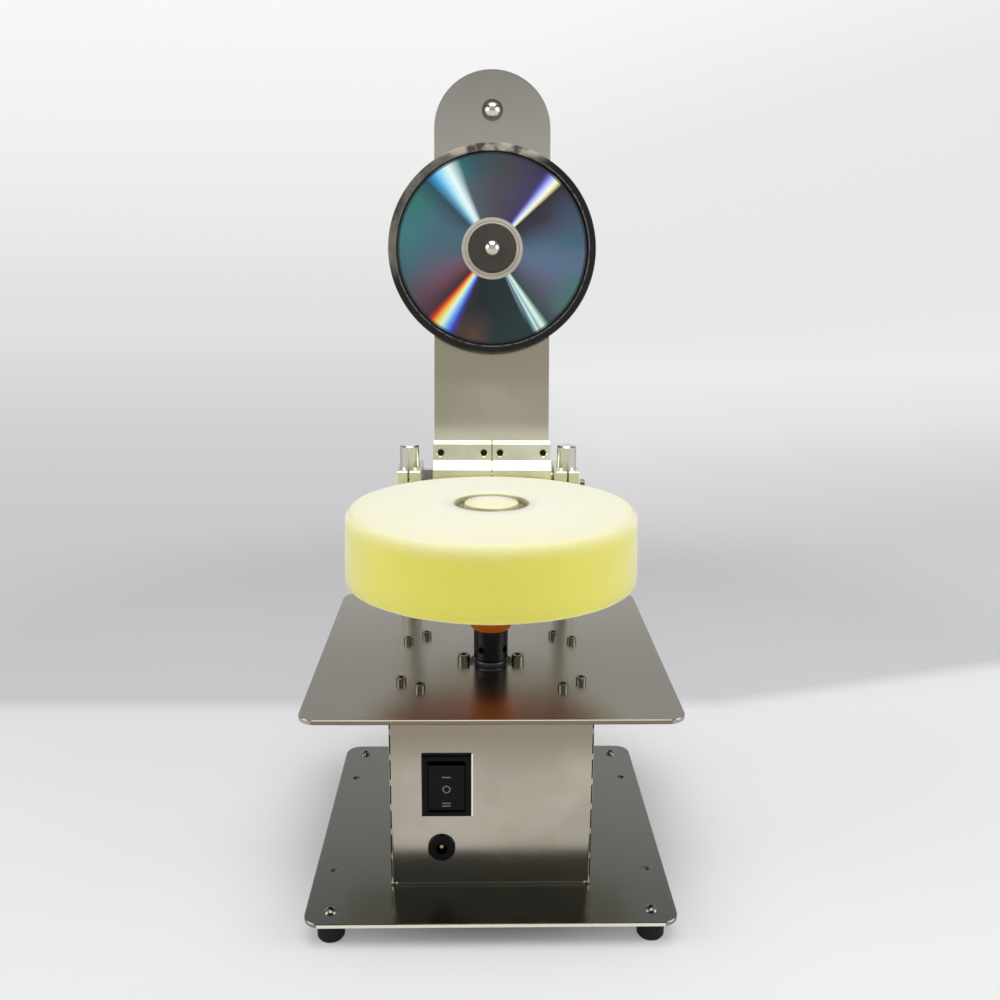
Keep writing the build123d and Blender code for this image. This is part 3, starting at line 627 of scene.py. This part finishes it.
@dataclass(frozen=True)
class TrayLacquer:
    """Black lacquer that turns a mottled grey over the upper left of the tray's rim, partly rubbed
    and partly painted light, with painted highlights along the rim's top and on its lip.
    """

    name: str
    centre: Place
    tilt: float
    rim: tuple[float, float] = (60.2 * MM, 61 * MM)
    # Radius of the painted highlight on the lip inside the rim.
    lip: float = 61.6 * MM

    def build(self) -> bpy.types.Material:
        """Make the material."""
        sheet = Sheet.material(self.name)
        where = sheet.place(self.centre, self.tilt)
        across, along, _ = sheet.split(where)
        radius = reach(across, along)
        cloud = sheet.noise(where, 40.0, 5, 0.65)
        speck = sheet.noise(where, 500.0, 3, 0.6)
        # Over the upper left the rim is painted lighter, partly as rubbed lacquer and partly as
        # painted light.
        side = along * 0.85 - across * 0.6 + (cloud - 0.5) * (36 * MM)
        pale_and_painted_light = side.within(14 * MM, 44 * MM)
        # A painted highlight along the top of the rim.
        top = (along + (cloud - 0.5) * (10 * MM)).within(54 * MM, 62 * MM)
        pale_and_painted_light = pale_and_painted_light.largest(top) * radius.within(*self.rim)
        pale_and_painted_light = pale_and_painted_light * speck.between(0.8, 1.15)
        grey = sheet.mix(cloud.within(0.35, 0.65), from_screen(60, 57, 54),
                         from_screen(112, 106, 98))
        tone = sheet.mix(pale_and_painted_light, from_screen(20, 18, 17), grey)
        # A painted glint, brighter still, on the top of the rim.
        glint = (along + (cloud - 0.5) * (8 * MM)).within(56 * MM, 61 * MM)
        glint = glint * cloud.within(0.42, 0.56) * radius.within(*self.rim)
        tone = sheet.mix(glint * 0.8, tone, from_screen(190, 180, 164))
        # A painted highlight on the lip, away from the grey.
        lip = (radius - self.lip).size().within(0.45 * MM, 0.2 * MM) * (1 - pale_and_painted_light)
        tone = sheet.mix(lip * speck.within(0.3, 0.6) * 0.7, tone, from_screen(128, 126, 122))
        return sheet.finish(Base_Color=tone, Roughness=pale_and_painted_light.between(0.26, 0.5) + speck * 0.06,
                            Specular_IOR_Level=0.3, Normal=sheet.bump(cloud, 0.1 * MM))


# ---- modelling helpers
def deselect_all() -> None:
    """Leave edit mode and clear the selection."""
    if bpy.context.object and bpy.context.object.mode != "OBJECT":
        bpy.ops.object.mode_set(mode="OBJECT")
    bpy.ops.object.select_all(action="DESELECT")


def turned(name: str, outline: list[tuple[float, float]], sides: int) -> bpy.types.Object:
    """Draw a closed outline of radii and heights, and spin it about Z.

    Args:
        name: The piece's name.
        outline: Corners as (radius, height), in metres.
        sides: Number of steps in the turn.

    Returns:
        The piece, left in edit mode.
    """
    deselect_all()
    bpy.ops.mesh.primitive_plane_add(size=2 * MM)
    piece = bpy.context.object
    piece.name = name
    bpy.ops.object.mode_set(mode="EDIT")
    bpy.ops.mesh.select_mode(type="VERT")
    bpy.ops.mesh.select_all(action="SELECT")
    bpy.ops.mesh.merge(type="CENTER")
    bpy.ops.transform.translate(value=(outline[0][0], 0, outline[0][1]))
    for (radius, height), (next_radius, next_height) in zip(outline, outline[1:]):
        step = (next_radius - radius, 0, next_height - height)
        bpy.ops.mesh.extrude_region_move(TRANSFORM_OT_translate={"value": step})
    bpy.ops.mesh.select_all(action="SELECT")
    bpy.ops.mesh.spin(steps=sides, angle=math.tau, center=(0, 0, 0), axis=(0, 0, 1))
    bpy.ops.mesh.select_all(action="SELECT")
    bpy.ops.mesh.remove_doubles(threshold=0.001 * MM)
    bpy.ops.mesh.normals_make_consistent(inside=False)
    return piece


def pick_edges(piece: bpy.types.Object, wanted: Callable[[bmesh.types.BMEdge], bool]) -> None:
    """Select only the edges of a piece in edit mode that pass a test."""
    bpy.ops.mesh.select_mode(type="EDGE")
    mesh = bmesh.from_edit_mesh(piece.data)
    for edge in mesh.edges:
        edge.select_set(wanted(edge))
    mesh.select_flush_mode()
    bmesh.update_edit_mesh(piece.data)


def settle(piece: bpy.types.Object, frame: Matrix | None = None, angle: float = 35) -> None:
    """Leave edit mode, carry the piece into place and shade it smooth below an angle.

    Args:
        piece: The piece being edited.
        frame: Where its own axes lie in the machine.
        angle: Edges sharper than this, in degrees, stay sharp.
    """
    bpy.ops.object.mode_set(mode="OBJECT")
    if frame is not None:
        piece.matrix_world = frame @ piece.matrix_world
    bpy.ops.object.transform_apply(location=True, rotation=True, scale=True)
    bpy.ops.object.shade_smooth_by_angle(angle=math.radians(angle))


def dress(piece: bpy.types.Object, material: bpy.types.Material) -> None:
    """Give a piece one material."""
    piece.data.materials.clear()
    piece.data.materials.append(material)


def joint_named(name: str) -> dict:
    """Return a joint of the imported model."""
    return next(joint for joint in FRAME["joints"] if joint["name"] == name)


# ---- foam pad
@dataclass
class FoamPad:
    """The thick foam pad with its domed face, soft shoulder and ring groove."""

    shoulder_radius: float = 77.6 * MM
    shoulder_drop: float = 8.5 * MM
    crown_radius: float = 74.0 * MM
    crown: float = 2.4 * MM
    groove: tuple[float, float] = (14.35 * MM, 20.1 * MM)
    groove_depth: float = 4 * MM

    def build(self) -> bpy.types.Object:
        """Model the pad over its solid and dress it.

        Returns:
            The pad.
        """
        low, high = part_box("foam_pad")
        centre = (low + high) / 2
        pad = turned("polishing_pad", self._outline((high.x - low.x) / 2, high.z - low.z), 160)
        settle(pad, Matrix.Translation((centre.x, centre.y, low.z)), 50)
        self._loosen(pad)
        dress(pad, PolishingFoam("yellow_foam", low.z, high.z, centre.y, self.groove).build())
        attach(pad, "spindle")
        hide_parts("foam_pad")
        return pad

    def _outline(self, radius: float, top: float) -> list[tuple[float, float]]:
        """Return the pad's profile from the middle of its face to the middle of its back.

        Args:
            radius: The pad's largest radius, at its lower edge.
            top: Its height.

        Returns:
            Corners as (radius, height).
        """
        def crown_at(where: float) -> float:
            return top - self.crown * (where / self.crown_radius) ** 2

        inner, outer = self.groove
        floor = top - self.groove_depth
        lip = 0.5 * MM
        profile = [(0, top), (inner / 2, top), (inner - lip, top), (inner, top - lip),
                   (inner + 0.3 * MM, floor), (outer - 0.3 * MM, floor),
                   (outer, crown_at(outer) - lip), (outer + lip, crown_at(outer))]
        profile += [(where * MM, crown_at(where * MM)) for where in (28, 38, 48, 58, 66, 71)]
        edge = crown_at(self.crown_radius)
        shoulder = top - self.shoulder_drop
        for step in range(7):
            turn = step * math.pi / 12
            profile.append((self.crown_radius
                            + (self.shoulder_radius - self.crown_radius) * math.sin(turn),
                            shoulder + (edge - shoulder) * math.cos(turn)))
        profile += [(self.shoulder_radius + (radius - self.shoulder_radius) * share,
                     shoulder * (1 - share) + 0.9 * MM * share) for share in (0.25, 0.5, 0.75, 1)]
        profile += [(radius - 0.25 * MM, 0.25 * MM), (radius - 0.9 * MM, 0)]
        return profile + [(where * MM, 0) for where in (60, 40, 20)] + [(0, 0)]

    @staticmethod
    def _loosen(pad: bpy.types.Object) -> None:
        """Let the foam's surface wander by a fraction of a millimetre."""
        lumps = bpy.data.textures.new("foam_lumps", "CLOUDS")
        lumps.noise_scale = 14 * MM
        lumps.noise_depth = 1
        loose = pad.modifiers.new("lumps", "DISPLACE")
        loose.texture = lumps
        loose.strength = 0.35 * MM
        loose.mid_level = 0.55
        bpy.ops.object.modifier_apply(modifier=loose.name)


# ---- disc
@dataclass
class DiscSet:
    """The disc on its tray, modelled on the axis of the joint that turns the tray."""

    disc_radius: float = 60 * MM
    disc_span: tuple[float, float] = (4.9 * MM, 6.1 * MM)
    centre: Vector = field(init=False)
    tilt: float = field(init=False)
    frame: Matrix = field(init=False)

    def __post_init__(self) -> None:
        """Read the tray's axis from its joint."""
        joint = joint_named("tray_spin")
        normal = Vector(joint["axis"])
        self.centre = Vector(joint["pos_m"])
        self.tilt = math.atan2(-normal.y, normal.z)
        self.frame = Matrix.Translation(self.centre) @ Matrix.Rotation(self.tilt, 4, "X")

    def build(self) -> bpy.types.Object:
        """Model the disc with its bore, clear hub, stacking ring and soft rim, and dress it.

        Returns:
            The disc.
        """
        back, front = self.disc_span
        edge, soft = self.disc_radius, 0.2 * MM
        outline = [(7.5, front), (15.9, front), (16.4, front + 0.1 * MM), (17.4, front + 0.1 * MM),
                   (17.9, front), (19.4, front), (19.7, front - 0.05 * MM), (20.1, front),
                   (30, front), (45, front), (58.4, front), (58.7, front - 0.05 * MM),
                   (59.0, front)]
        outline = [(radius * MM, height) for radius, height in outline]
        outline += [(edge - soft, front), (edge, front - soft), (edge, back + soft),
                    (edge - soft, back), (30 * MM, back), (7.5 * MM, back), (7.5 * MM, front)]
        disc = turned("optical_disc", outline, 192)
        settle(disc, self.frame, 30)
        dress(disc, DiscPaintedReflections("disc_painted_reflections", tuple(self.centre), self.tilt).build())
        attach(disc, "turntable")
        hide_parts("polished_disc")
        return disc


# ---- switch marks
@dataclass
class SwitchMarks:
    """The printed marks down the middle of the rocker: one bar, a ring and two bars."""

    middle: Vector = field(init=False)
    chord: float = 12.7 * MM
    hollow: float = 2.1 * MM
    raised: float = 0.06 * MM

    def __post_init__(self) -> None:
        """Find the rocker's middle."""
        low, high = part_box("switch_rocker")
        self.middle = Vector(((low.x + high.x) / 2, low.y, (low.z + high.z) / 2))

    def build(self) -> list[bpy.types.Object]:
        """Model the marks on the rocker's hollow face.

        Returns:
            The marks.
        """
        ink = MouldedPlastic("mark_print", from_screen(112, 114, 117), 0.5,
                             depth=0.01 * MM).build()
        marks = [self._bar("mark_bar", 5.0 * MM, 0.75 * MM), self._ring("mark_ring", -2.0 * MM),
                 self._bar("mark_upper", -9.3 * MM, 0.55 * MM),
                 self._bar("mark_lower", -10.7 * MM, 0.55 * MM)]
        for mark in marks:
            dress(mark, ink)
            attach(mark, "rocker")
        return marks

    def _frame(self, rise: float) -> Matrix:
        """Return the frame of a mark at a height above the rocker's middle.

        Args:
            rise: The height.

        Returns:
            The frame, whose Z points out of the hollow face.
        """
        radius = (self.chord ** 2 + self.hollow ** 2) / (2 * self.hollow)
        back = self.hollow - (radius - math.sqrt(radius ** 2 - rise ** 2))
        spot = self.middle + Vector((0, back, rise))
        lean = math.asin(rise / radius)
        return Matrix.Translation(spot) @ Matrix.Rotation(math.pi / 2 + lean, 4, "X")

    def _bar(self, name: str, rise: float, height: float) -> bpy.types.Object:
        """Model one bar with rounded ends."""
        deselect_all()
        bpy.ops.mesh.primitive_cube_add(size=1, scale=(4.6 * MM, height, 2 * self.raised))
        bar = bpy.context.object
        bar.name = name
        bpy.ops.object.transform_apply(location=True, rotation=True, scale=True)
        bpy.ops.object.mode_set(mode="EDIT")
        pick_edges(bar, lambda e: abs(e.verts[0].co.z - e.verts[1].co.z) > self.raised)
        bpy.ops.mesh.bevel(offset=height * 0.45, segments=4, profile=0.5)
        settle(bar, self._frame(rise), 40)
        return bar

    def _ring(self, name: str, rise: float) -> bpy.types.Object:
        """Model the ring."""
        outline = [(1.5, 1), (2.1, 1), (2.1, -1), (1.5, -1), (1.5, 1)]
        ring = turned(name, [(radius * MM, side * self.raised) for radius, side in outline], 40)
        settle(ring, self._frame(rise), 40)
        return ring


# ---- carried-over nodes
@dataclass
class MachinedParts:
    """Dresses every node that keeps its own solid."""

    edge_angle: float = 28.0
    weld: float = 0.002 * MM
    printed_below: float = 7.2 * MM     # above the rocker's middle, where its paler part starts and the painted shade above it ends

    def build(self, disc_set: DiscSet) -> None:
        """Give each node its finish and smooth shading.

        Args:
            disc_set: Gives the tray's axis to the tray's lacquer.
        """
        low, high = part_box("switch_rocker")
        rocker_step = (low.z + high.z) / 2 + self.printed_below
        platform_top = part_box("platform_plate")[1].z
        house_low, house_top = (corner.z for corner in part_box("motor_housing"))
        arm_low, arm_top = (corner.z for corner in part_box("arm_plate"))
        finishes = {
            BrushedSteel("base_steel", from_screen(140, 142, 134), Grain.ACROSS, 0.17,
                         # The base's front edge takes a painted highlight.
                         bands=(self._painted_front_edge("base_plate", (240, 236, 218)),)):
                ["base_plate", "bridge_plate"],
            BrushedSteel("platform_steel", from_screen(175, 171, 160), Grain.ACROSS, 0.2,
                         # The platform's front edge takes painted shade.
                         contrast=0.95, bands=(self._painted_front_edge("platform_plate", (132, 120, 102)),)):
                ["platform_plate"],
            BrushedSteel("arm_steel", from_screen(196, 189, 166), Grain.UPWARD, cloudy=0.5,
                         contrast=0.94,
                         # Greyer towards the top; below the tray a band of painted shadow, and
                         # near the hinge a band of painted highlight.
                         bands=(Band(Axis.UP, arm_top, 70 * MM, 70 * MM,
                                     from_screen(205, 201, 190)),
                                Band(Axis.UP, arm_low + 98 * MM, 8 * MM, 14 * MM,
                                     from_screen(176, 169, 146)),
                                Band(Axis.UP, arm_low + 34 * MM, 12 * MM, 14 * MM,
                                     from_screen(234, 229, 203)))):
                ["arm_plate"],
            BrushedSteel("housing_steel", from_screen(192, 184, 170), Grain.ACROSS, 0.17,
                         smudge=0.5, cloudy=0.8, contrast=0.95,
                         # Painted shade under the platform's overhang along the top, and a painted
                         # highlight along the lower fold.
                         bands=(Band(Axis.UP, house_top - 8 * MM, 8 * MM, 26 * MM,
                                     from_screen(152, 143, 125)),
                                Band(Axis.UP, house_low + 0.9 * MM, 0.3 * MM, 0.3 * MM,
                                     from_screen(250, 244, 232)), self._switch_edge_highlight())):
                ["motor_housing", "housing_back"],
            TurnedMetal("screw_steel", from_screen(222, 220, 212), 0.18):
                ["base_nuts", "rod_washers", "rod_nuts", "handle_screw", "centre_screw",
                 "lock_washer", "lock_nut"],
            # A darker copy of screw_steel: painted dark reflection on these screws and nuts, and
            # painted shade on the handle's washer.
            TurnedMetal("cap_screw_steel", from_screen(138, 134, 124), 0.18):
                ["foot_screws", "base_screws", "platform_screws", "platform_nuts", "motor_screws",
                 "clamp_bolts", "bridge_screws", "handle_washer"],
            TurnedMetal("dark_screw_steel", from_screen(52, 50, 46), 0.3):
                ["block_screws", "shaft_set_screws", "coupler_set_screws"],
            TurnedMetal("ground_rod", from_screen(210, 210, 202), 0.1, 500.0):
                ["cross_shaft", "motor_shaft", "bearing_outer_ring", "bearing_inner_ring",
                 "bearing_balls", "tray_spacer"],
            BrushedSteel("guide_rod_steel", from_screen(210, 210, 202), Grain.UPWARD, 0.12,
                         dull=Band(Axis.UP, platform_top + 38 * MM, 36 * MM, 12 * MM)):
                ["guide_rod_left", "guide_rod_right"],
            TurnedMetal("milled_aluminium", from_screen(250, 251, 216), 0.16, 400.0):
                ["pivot_block_left", "pivot_block_right"],
            TurnedMetal("clamp_aluminium", from_screen(250, 252, 238), 0.42, 400.0):
                ["clamp_block_left", "clamp_block_right"],
            TurnedMetal("bush_bronze", from_screen(176, 132, 78), 0.3):
                ["pivot_bushes", "motor_commutator"],
            TurnedMetal("motor_zinc", from_screen(150, 152, 154), 0.35):
                ["motor_can", "motor_armature"],
            TurnedMetal("contact_metal", from_screen(214, 200, 150), 0.3):
                ["motor_terminals", "switch_terminals", "power_jack_pin"],
            TurnedMetal("spacer_steel", from_screen(196, 192, 184), 0.16): ["shaft_spacer"],
            MouldedPlastic("ferrite", from_screen(40, 40, 42), 0.6): ["motor_magnets"],
            MouldedPlastic("black_oxide", from_screen(12, 12, 12), 0.28, depth=0.01 * MM,
                           gloss=0.25):
                ["shaft_coupler"],
            MouldedPlastic("orange_plastic", from_screen(202, 104, 16), 0.4): ["pad_backing"],
            MouldedPlastic("black_rubber", from_screen(14, 14, 14), 0.65, gloss=0.3):
                ["rubber_feet"],
            MouldedPlastic("black_plastic", from_screen(10, 9, 9), 0.4, gloss=0.12):
                ["switch_body", "motor_end_cap", "power_jack", "power_jack_nut", "handle_knob"],
            MouldedPlastic("cap_plastic", from_screen(50, 44, 37), 0.5): ["disc_cap"],
            RockerPlastic("rocker_plastic", rocker_step): ["switch_rocker"],
            TrayLacquer("tray_lacquer", tuple(disc_set.centre), disc_set.tilt):
                ["disc_tray"],
        }
        for finish, names in finishes.items():
            material = finish.build()
            for name in names:
                node = FRAME["nodes"][name]
                dress(node, material)
                self._soften(node)
            LOG.info("dressed %s", ", ".join(names))

    @staticmethod
    def _switch_edge_highlight() -> PaintedEdgeHighlight:
        """Return the painted highlight that shows beside and below the switch's bezel, on the cut
        edge.
        """
        low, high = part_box("switch_body")
        shift = 0.35 * MM
        return PaintedEdgeHighlight(((low.x + high.x) / 2 + shift, (low.z + high.z) / 2 - shift),
                       ((high.x - low.x) / 2, (high.z - low.z) / 2), 0.55 * MM,
                       from_screen(252, 248, 242))

    @staticmethod
    def _painted_front_edge(node: str, levels: tuple[int, int, int]) -> Band:
        """Return a band of painted light over a plate's cut front edge."""
        return Band(Axis.ALONG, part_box(node)[0].y, 0.12 * MM, 0.12 * MM, from_screen(*levels))

    def _soften(self, node: bpy.types.Object) -> None:
        """Weld a node's loose triangles and shade its round faces smooth, without editing it."""
        for polygon in node.data.polygons:
            polygon.use_smooth = True
        weld = node.modifiers.new("weld", "WELD")
        weld.merge_threshold = self.weld
        split = node.modifiers.new("sharp_edges", "EDGE_SPLIT")
        split.split_angle = math.radians(self.edge_angle)


# ---- studio
@dataclass(frozen=True)
class Lamp:
    """One soft area lamp, aimed at a point."""

    name: str
    place: Place
    aim: Place
    size: float
    power: float

    def build(self) -> None:
        """Hang the lamp."""
        data = bpy.data.lights.new(self.name, "AREA")
        data.size = self.size
        data.energy = self.power
        lamp = bpy.data.objects.new(self.name, data)
        lamp.location = self.place
        towards = Vector(self.aim) - Vector(self.place)
        lamp.rotation_euler = towards.to_track_quat("-Z", "Y").to_euler()
        bpy.context.scene.collection.objects.link(lamp)


# The paper's grey, with the blue added to it, against the way along the floor and up the wall:
# painted light, darker behind the machine and brighter up the wall.
PAPER_LEFT = [(0.0, 238, 1), (0.023, 233, 1), (0.027, 207, 3), (0.092, 201, 3), (0.15, 204, 2),
              (0.31, 214, 1), (0.66, 226, 0), (0.885, 248, 0)]
PAPER_RIGHT = [(0.0, 241, 1), (0.023, 242, 1), (0.027, 211, 3), (0.085, 203, 3), (0.136, 213, 2),
               (0.22, 228, 1), (0.37, 236, 0), (0.6, 231, 0), (0.76, 233, 0), (0.885, 248, 0)]
# Distance from the spindle at which the paper fades into a glow of its painted grey, so that it
# keeps the machine's shadow nearby, and the part of that glow that starts beside the base, which
# lightens that shadow.
GLOW_FAR, GLOW_NEAR, NEAR_SHARE = (0.34, 0.8), (0.1, 0.16), 0.33
# Length of the paper's way, from the spindle's foot to its top edge; on the right the floor's end
# turns away beyond a place across, by a share of the way across.
PAPER_WAY, TURN_FROM, TURN_SHARE = 6.0, 0.18, 0.3
# Heights of the wall between which it darkens.
WALL_TOP = (1.44, 1.56)
# The room, as heights of a direction: a low grey band ahead, the dark lid's lower and upper edge,
# and its lower edge behind the camera.
LOW_BAND, LID_EDGE, LID_TOP, REAR_EDGE = (0.46, 0.34), (0.525, 0.56), (0.97, 0.9), (0.44, 0.51)


@dataclass
class Studio:
    """The pale floor and backdrop, the soft lights and the camera."""

    camera_place: Vector = field(default_factory=lambda: Vector((-0.007, -0.5805, 0.341)))
    tilt: float = 13.62
    yaw: float = 1.25
    roll: float = 0.394
    lens: float = 36.75
    sensor: float = 36
    floor_size: tuple[float, float] = (14.0, 10.0)
    floor_middle: float = -1.0
    wall_height: float = 1.7
    cove: float = 0.7
    lamps: tuple[Lamp, ...] = (
        Lamp("overhead", (0.0, -0.3, 1.5), (0.0, 0.0, 0.2), 1.2, 11),
        Lamp("left", (-1.25, -0.4, 0.8), (0.0, 0.0, 0.2), 0.9, 6.5),
        Lamp("right", (1.25, -0.4, 0.8), (0.0, 0.0, 0.2), 0.9, 6.5),
    )

    def build(self) -> None:
        """Set up all that isn't part of the machine."""
        bpy.context.scene.view_settings.view_transform = "Standard"
        self._floor()
        self._world()
        for lamp in self.lamps:
            lamp.build()
        self._camera()

    def _camera(self) -> None:
        """Place the camera where the photograph was taken from."""
        data = bpy.data.cameras.new("camera")
        data.lens = self.lens
        data.sensor_width = self.sensor
        data.clip_start = 0.01
        camera = bpy.data.objects.new("camera", data)
        turn = (Matrix.Rotation(-math.radians(self.yaw), 4, "Z")
                @ Matrix.Rotation(math.radians(90 - self.tilt), 4, "X")
                @ Matrix.Rotation(math.radians(self.roll), 4, "Z"))
        camera.matrix_world = Matrix.Translation(self.camera_place) @ turn
        bpy.context.scene.collection.objects.link(camera)
        bpy.context.scene.camera = camera

    def _floor(self) -> None:
        """Lay the floor and curve it up into a backdrop."""
        deselect_all()
        bpy.ops.mesh.primitive_plane_add(size=1, location=(0, self.floor_middle, 0))
        floor = bpy.context.object
        floor.name = "floor"
        floor.scale = (*self.floor_size, 1)
        bpy.ops.object.transform_apply(location=True, rotation=True, scale=True)
        bpy.ops.object.mode_set(mode="EDIT")
        back = self.floor_middle + self.floor_size[1] / 2 - 0.1
        pick_edges(floor, lambda e: all(v.co.y > back for v in e.verts))
        rise = (0, 0, self.wall_height)
        bpy.ops.mesh.extrude_region_move(TRANSFORM_OT_translate={"value": rise})
        pick_edges(floor, lambda e: all(v.co.y > back and v.co.z < 0.01 for v in e.verts))
        bpy.ops.mesh.bevel(offset=self.cove, segments=16, profile=0.5)
        settle(floor, angle=60)
        dress(floor, self._paper())

    @staticmethod
    def _paper() -> bpy.types.Material:
        """Make pale paper that keeps the machine's shadow nearby, lightened beside the base by a
        glow, and far off glows with its painted grey.
        """
        sheet = Sheet.material("pale_paper")
        across, along, height = sheet.split(sheet.place())
        radius = reach(across, along)
        glow_share = radius.within(*GLOW_FAR).largest(radius.within(*GLOW_NEAR) * NEAR_SHARE)
        path = (along - (across - TURN_FROM).largest(0.0) * TURN_SHARE + height) / PAPER_WAY
        left, right = (sheet.ramp(path, [(place, from_screen(level, level, level + blue))
                                         for place, level, blue in tones])
                       for tones in (PAPER_LEFT, PAPER_RIGHT))
        tone = sheet.mix(across.within(-0.15, 0.25), left, right)
        tone = sheet.mix(height.within(*WALL_TOP), tone, from_screen(170, 170, 172))
        sheet.finish(Base_Color=tone, Roughness=0.85)
        seen = sheet.node("ShaderNodeLightPath", output="Is Camera Ray")
        seen = seen.largest(seen.beside("Is Glossy Ray")).largest(
            seen.beside("Is Transmission Ray"))
        glow = sheet.node("ShaderNodeEmission", {}, {"Color": tone, "Strength": 1.0})
        sheet.blend_surface(seen * glow_share, glow)
        return sheet.owner

    @staticmethod
    def _world() -> None:
        """Light evenly from around, dimmer from the dark end of the room behind the camera."""
        sheet = Sheet.world("studio")
        across, along, height = sheet.split(sheet.node("ShaderNodeTexCoord", output="Generated"))
        tone = sheet.mix(across.within(-0.3, 0.3), from_screen(202, 202, 204),
                         from_screen(214, 214, 215))
        low = height.within(*LOW_BAND) * along.within(0.0, 0.3)
        tone = sheet.mix(low, tone, from_screen(146, 146, 148))
        lid = height.within(*LID_EDGE) * height.within(*LID_TOP)
        lid = lid * (-along).within(-0.2, 0.5).between(0.55, 1.0)
        behind = height.within(*REAR_EDGE) * (-along).within(0.3, 0.6)
        lid = lid.largest(behind * height.within(*LID_TOP))
        tone = sheet.mix(lid, tone, from_screen(14, 14, 15))
        sheet.finish(Color=tone, Strength=1.0)


def note_size() -> None:
    """Bring the view layer up to date."""
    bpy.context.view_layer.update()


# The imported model.
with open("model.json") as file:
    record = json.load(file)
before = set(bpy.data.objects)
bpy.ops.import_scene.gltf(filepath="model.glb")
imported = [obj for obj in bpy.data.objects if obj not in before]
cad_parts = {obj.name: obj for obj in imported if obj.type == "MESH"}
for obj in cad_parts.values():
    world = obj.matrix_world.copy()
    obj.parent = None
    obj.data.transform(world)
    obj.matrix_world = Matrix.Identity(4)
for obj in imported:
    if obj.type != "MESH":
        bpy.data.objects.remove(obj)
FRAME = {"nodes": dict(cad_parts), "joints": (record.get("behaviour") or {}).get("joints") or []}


def main() -> None:
    """Build the studio and the machine's looks in order."""
    logging.basicConfig(level=logging.INFO, format="%(name)s: %(message)s")
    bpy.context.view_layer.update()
    deselect_all()
    Studio().build()
    pad = FoamPad().build()
    LOG.info("built %s", pad.name)
    disc_set = DiscSet()
    for piece in [disc_set.build()] + SwitchMarks().build():
        LOG.info("built %s", piece.name)
    MachinedParts().build(disc_set)
    note_size()


if __name__ == "__main__":
    main()
